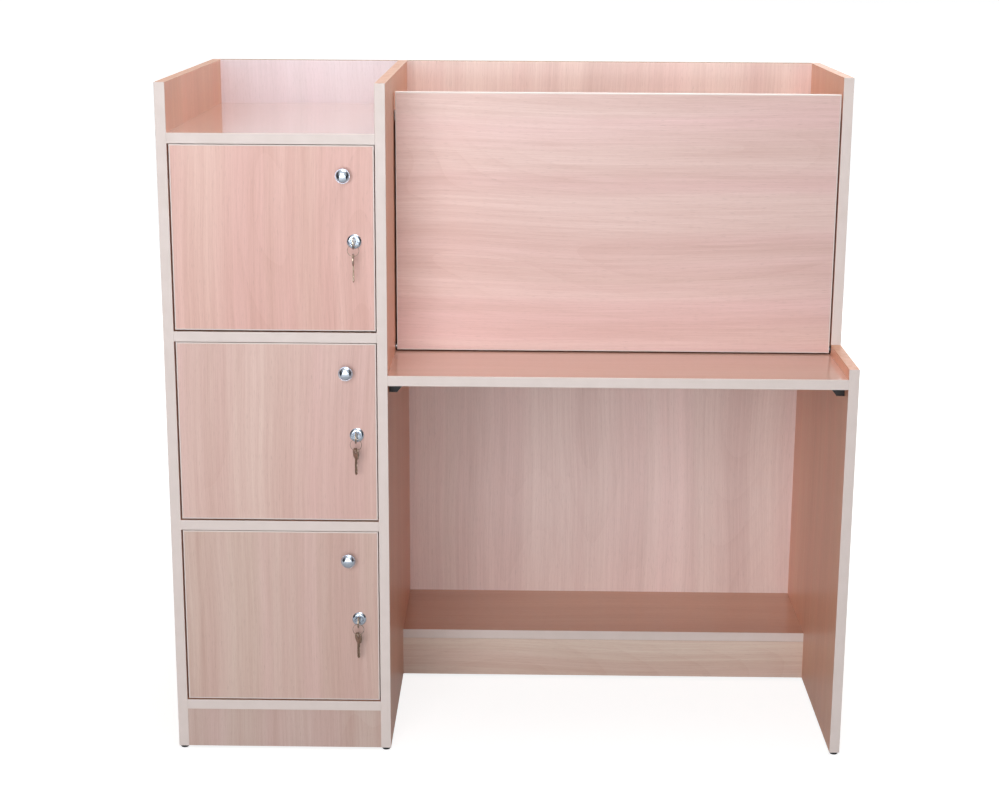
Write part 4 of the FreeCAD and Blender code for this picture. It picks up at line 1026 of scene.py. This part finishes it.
for locker in LOCKERS:
    low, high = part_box(f"{locker}_key")
    hole_at = ((low.x + high.x) / 2, low.y + BOW_RADIUS - BOW_HOLE_OFFSET, (low.z + high.z) / 2)
    in_lock = stand(hole_at, RIGHTWARDS, UPWARDS)
    make_piece(f"{locker}_stamped_key", [(shape, in_lock @ layer) for shape, layer in key_layers],
               worn_nickel, "key_nickel", f"{locker}_lock", f"{locker}_key")
    spare_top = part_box(f"{locker}_spare_key")[1].z
    spare_at = (hole_at[0], hole_at[1], spare_top - BOW_RADIUS + BOW_HOLE_OFFSET)
    turn = math.radians(SPARE_KEY_TURN[locker])
    hanging = stand(spare_at, (math.cos(turn), math.sin(turn), 0.0),
                    (-math.sin(turn), math.cos(turn), 0.0))
    make_piece(f"{locker}_stamped_spare_key", [(shape, hanging @ layer) for shape, layer in key_layers],
               worn_nickel, "key_nickel", f"{locker}_key_set", f"{locker}_spare_key")

# Key rings: split rings, each two turns of springy plated wire that lie side by side, with a crank
# where the wire crosses from one turn to the other.
RING_WIRE = 0.00036
RING_STEPS = 96
RING_SIDES = 12
CRANK_START = 0.44
CRANK_END = 0.56
ring_skin = []
low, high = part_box("upper_key_ring")
ring_radius = (high.x - low.x) / 2 - (high.y - low.y) / 2
for i in range(RING_STEPS + 1):
    share = i / RING_STEPS
    angle = 4 * math.pi * share
    crank = min(max((share - CRANK_START) / (CRANK_END - CRANK_START), 0.0), 1.0)
    level = RING_WIRE * (2 * crank * crank * (3 - 2 * crank) - 1)
    ring_skin.append([
        ((ring_radius + RING_WIRE * math.cos(side)) * math.cos(angle),
         (ring_radius + RING_WIRE * math.cos(side)) * math.sin(angle),
         level + RING_WIRE * math.sin(side))
        for side in even_angles(RING_SIDES)
    ])
ring_shape = ringed(ring_skin)
for locker in LOCKERS:
    ring_middle = sum(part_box(f"{locker}_key_ring"), Vector()) / 2
    make_piece(f"{locker}_split_ring", [(ring_shape, stand(ring_middle, FRONTWARDS))],
               worn_nickel, "key_nickel", f"{locker}_key_set", f"{locker}_key_ring")

# Floor: a plain pale ground that keeps the desk's shadow. Away from the desk it fades into the
# white background, so that no horizon shows.
FLOOR_HALF = 40.0
FLOOR_TONE = 0.3
FLOOR_ROUGHNESS = 0.9
FADE_START = 0.8
FADE_END = 4.0
FLOOR_GLOW = 0.84
GLOSS_START = 0.8
GLOSS_END = 2.6
GLOSS_NEAR_PAINTED_SHADE = 0.3
GLOSS_FAR = 0.9
floor_mesh = bpy.data.meshes.new("floor")
floor_corners = [(-FLOOR_HALF, -FLOOR_HALF, 0.0), (FLOOR_HALF, -FLOOR_HALF, 0.0),
                 (FLOOR_HALF, FLOOR_HALF, 0.0), (-FLOOR_HALF, FLOOR_HALF, 0.0)]
floor_mesh.from_pydata(floor_corners, [], [(0, 1, 2, 3)])
floor = bpy.data.objects.new("floor", floor_mesh)
bpy.context.scene.collection.objects.link(floor)
floor_finish, tree, surface = new_finish("pale_floor")
surface.inputs["Base Color"].default_value = (FLOOR_TONE, FLOOR_TONE, FLOOR_TONE, 1.0)
surface.inputs["Roughness"].default_value = FLOOR_ROUGHNESS
surface.inputs["Emission Color"].default_value = (1.0, 1.0, 1.0, 1.0)
spot = add(tree, "TexCoord").outputs["Object"]
distance = add(tree, "VectorMath", {0: spot}, operation="LENGTH").outputs["Value"]
eye_glow = spread(tree, distance, FADE_START, FADE_END, FLOOR_GLOW, 1.0)
# Seen in reflections, the floor glows dimmer near the desk than further away: painted shade around the
# desk.
gloss_glow = spread(tree, distance, GLOSS_START, GLOSS_END, GLOSS_NEAR_PAINTED_SHADE, GLOSS_FAR)
path = add(tree, "LightPath").outputs
by_eye = calculate(tree, "MAXIMUM", path["Is Camera Ray"], path["Is Transmission Ray"])
tree.links.new(total(tree, calculate(tree, "MULTIPLY", by_eye, eye_glow),
                     calculate(tree, "MULTIPLY", path["Is Glossy Ray"], gloss_glow)),
               surface.inputs["Emission Strength"])
floor_mesh.materials.append(floor_finish)

# Dark flags: two black cards that lean back in front of the desk to the left and the right. Only the
# polished metal shows them, as the dark edges that make it look round.
FLAG_COLOUR = (0.02, 0.02, 0.025, 1.0)
FLAG_FOOT = (-0.9, 0.01)
FLAG_TOP = (-2.2, 1.15)
FLAG_REACHES = ((-9.0, -1.2), (0.6, 9.0))
flag_finish, tree, surface = new_finish("dark_flag")
surface.inputs["Base Color"].default_value = FLAG_COLOUR
for i, (left, right) in enumerate(FLAG_REACHES):
    flag_mesh = bpy.data.meshes.new(f"dark_flag_{i}")
    flag_mesh.from_pydata([(left, *FLAG_FOOT), (right, *FLAG_FOOT), (right, *FLAG_TOP),
                           (left, *FLAG_TOP)], [], [(0, 1, 2, 3)])
    flag_mesh.materials.append(flag_finish)
    flag = bpy.data.objects.new(f"dark_flag_{i}", flag_mesh)
    flag.visible_camera = False
    flag.visible_diffuse = False
    flag.visible_transmission = False
    flag.visible_shadow = False
    bpy.context.scene.collection.objects.link(flag)

# Light: a wide soft lamp in front, two low down for the knee space, one above and one behind, in a
# nearly dark surround that the eye sees as white. Gloss sees it dim on the left and the right. Three
# low lamps beside and behind the desk light its sides and back alone.
SURROUND = 0.03
ASIDE_DIMMING = (0.4, 0.8, 1.0, 0.08)
world = bpy.data.worlds.new("surround")
bpy.context.scene.world = world
world.use_nodes = True
tree = world.node_tree
tree.nodes["Background"].inputs["Color"].default_value = (1.0, 1.0, 1.0, 1.0)
path = add(tree, "LightPath").outputs
by_eye = calculate(tree, "MAXIMUM", path["Is Camera Ray"], path["Is Transmission Ray"])
aside = add(tree, "SeparateXYZ", {0: add(tree, "TexCoord").outputs["Generated"]}).outputs["X"]
gloss_glow = spread(tree, calculate(tree, "ABSOLUTE", aside), *ASIDE_DIMMING)
by_gloss = calculate(tree, "MULTIPLY", path["Is Glossy Ray"], gloss_glow)
tree.links.new(spread(tree, calculate(tree, "MAXIMUM", by_eye, by_gloss), 0.0, 1.0, SURROUND, 1.0),
               tree.nodes["Background"].inputs["Strength"])


def soft_lamp(name, at, towards, width, height, power):
    lamp = bpy.data.lights.new(name, "AREA")
    lamp.shape = "RECTANGLE"
    lamp.size = width
    lamp.size_y = height
    lamp.energy = power
    lamp_object = bpy.data.objects.new(name, lamp)
    lamp_object.location = at
    lamp_object.rotation_euler = (Vector(towards) - Vector(at)).to_track_quat("-Z", "Y").to_euler()
    lamp_object.visible_camera = False
    bpy.context.scene.collection.objects.link(lamp_object)
    return lamp_object


soft_lamp("front_softbox", (-0.7, -4.05, 2.0), (0.0, 0.0, 0.8), 2.4, 2.0, 69.0)
soft_lamp("low_softbox", (-1.2, -4.5, 0.75), (0.2, 0.0, 0.5), 3.0, 1.0, 43.5)
soft_lamp("right_softbox", (0.9, -4.5, 0.75), (0.3, 0.0, 0.5), 2.4, 1.0, 22.0)
soft_lamp("top_softbox", (0.2, -0.3, 3.2), (0.0, 0.0, 1.0), 2.0, 2.0, 54.0)
soft_lamp("rear_softbox", (0.8, 3.6, 2.4), (0.0, 0.0, 0.6), 2.4, 2.0, 20.0)
for name, x, y, power in (("left_card", -4.0, 1.8, 75.0), ("right_card", 4.0, 1.8, 75.0),
                          ("back_card", 0.0, 4.2, 60.0)):
    soft_lamp(name, (x, y, 0.6), (0.0, 0.2, 0.6), 2.4, 1.0, power).visible_glossy = False

# Camera: at standing eye height in front of the desk, a little right of its middle and tilted down,
# with a long lens that keeps the uprights nearly straight.
CAMERA_AT = Vector((0.0205, -3.38745, 1.4376))
YAW = math.radians(-0.735)
PITCH = math.radians(14.081)
ROLL = math.radians(-0.330)
LENS = 66.48
SENSOR = 36.0
ahead_level = Vector((math.sin(YAW), math.cos(YAW), 0.0))
right_level = Vector((math.cos(YAW), -math.sin(YAW), 0.0))
ahead = ahead_level * math.cos(PITCH) - Vector((0.0, 0.0, math.sin(PITCH)))
up_level = ahead_level * math.sin(PITCH) + Vector((0.0, 0.0, math.cos(PITCH)))
right = right_level * math.cos(ROLL) - up_level * math.sin(ROLL)
up = right_level * math.sin(ROLL) + up_level * math.cos(ROLL)
camera = bpy.data.cameras.new("camera")
camera.lens = LENS
camera.sensor_width = SENSOR
camera_object = bpy.data.objects.new("camera", camera)
camera_object.matrix_world = Matrix((
    (right.x, up.x, -ahead.x, CAMERA_AT.x),
    (right.y, up.y, -ahead.y, CAMERA_AT.y),
    (right.z, up.z, -ahead.z, CAMERA_AT.z),
    (0.0, 0.0, 0.0, 1.0),
))
bpy.context.scene.collection.objects.link(camera_object)
bpy.context.scene.camera = camera_object
bpy.context.scene.view_settings.view_transform = "Standard"
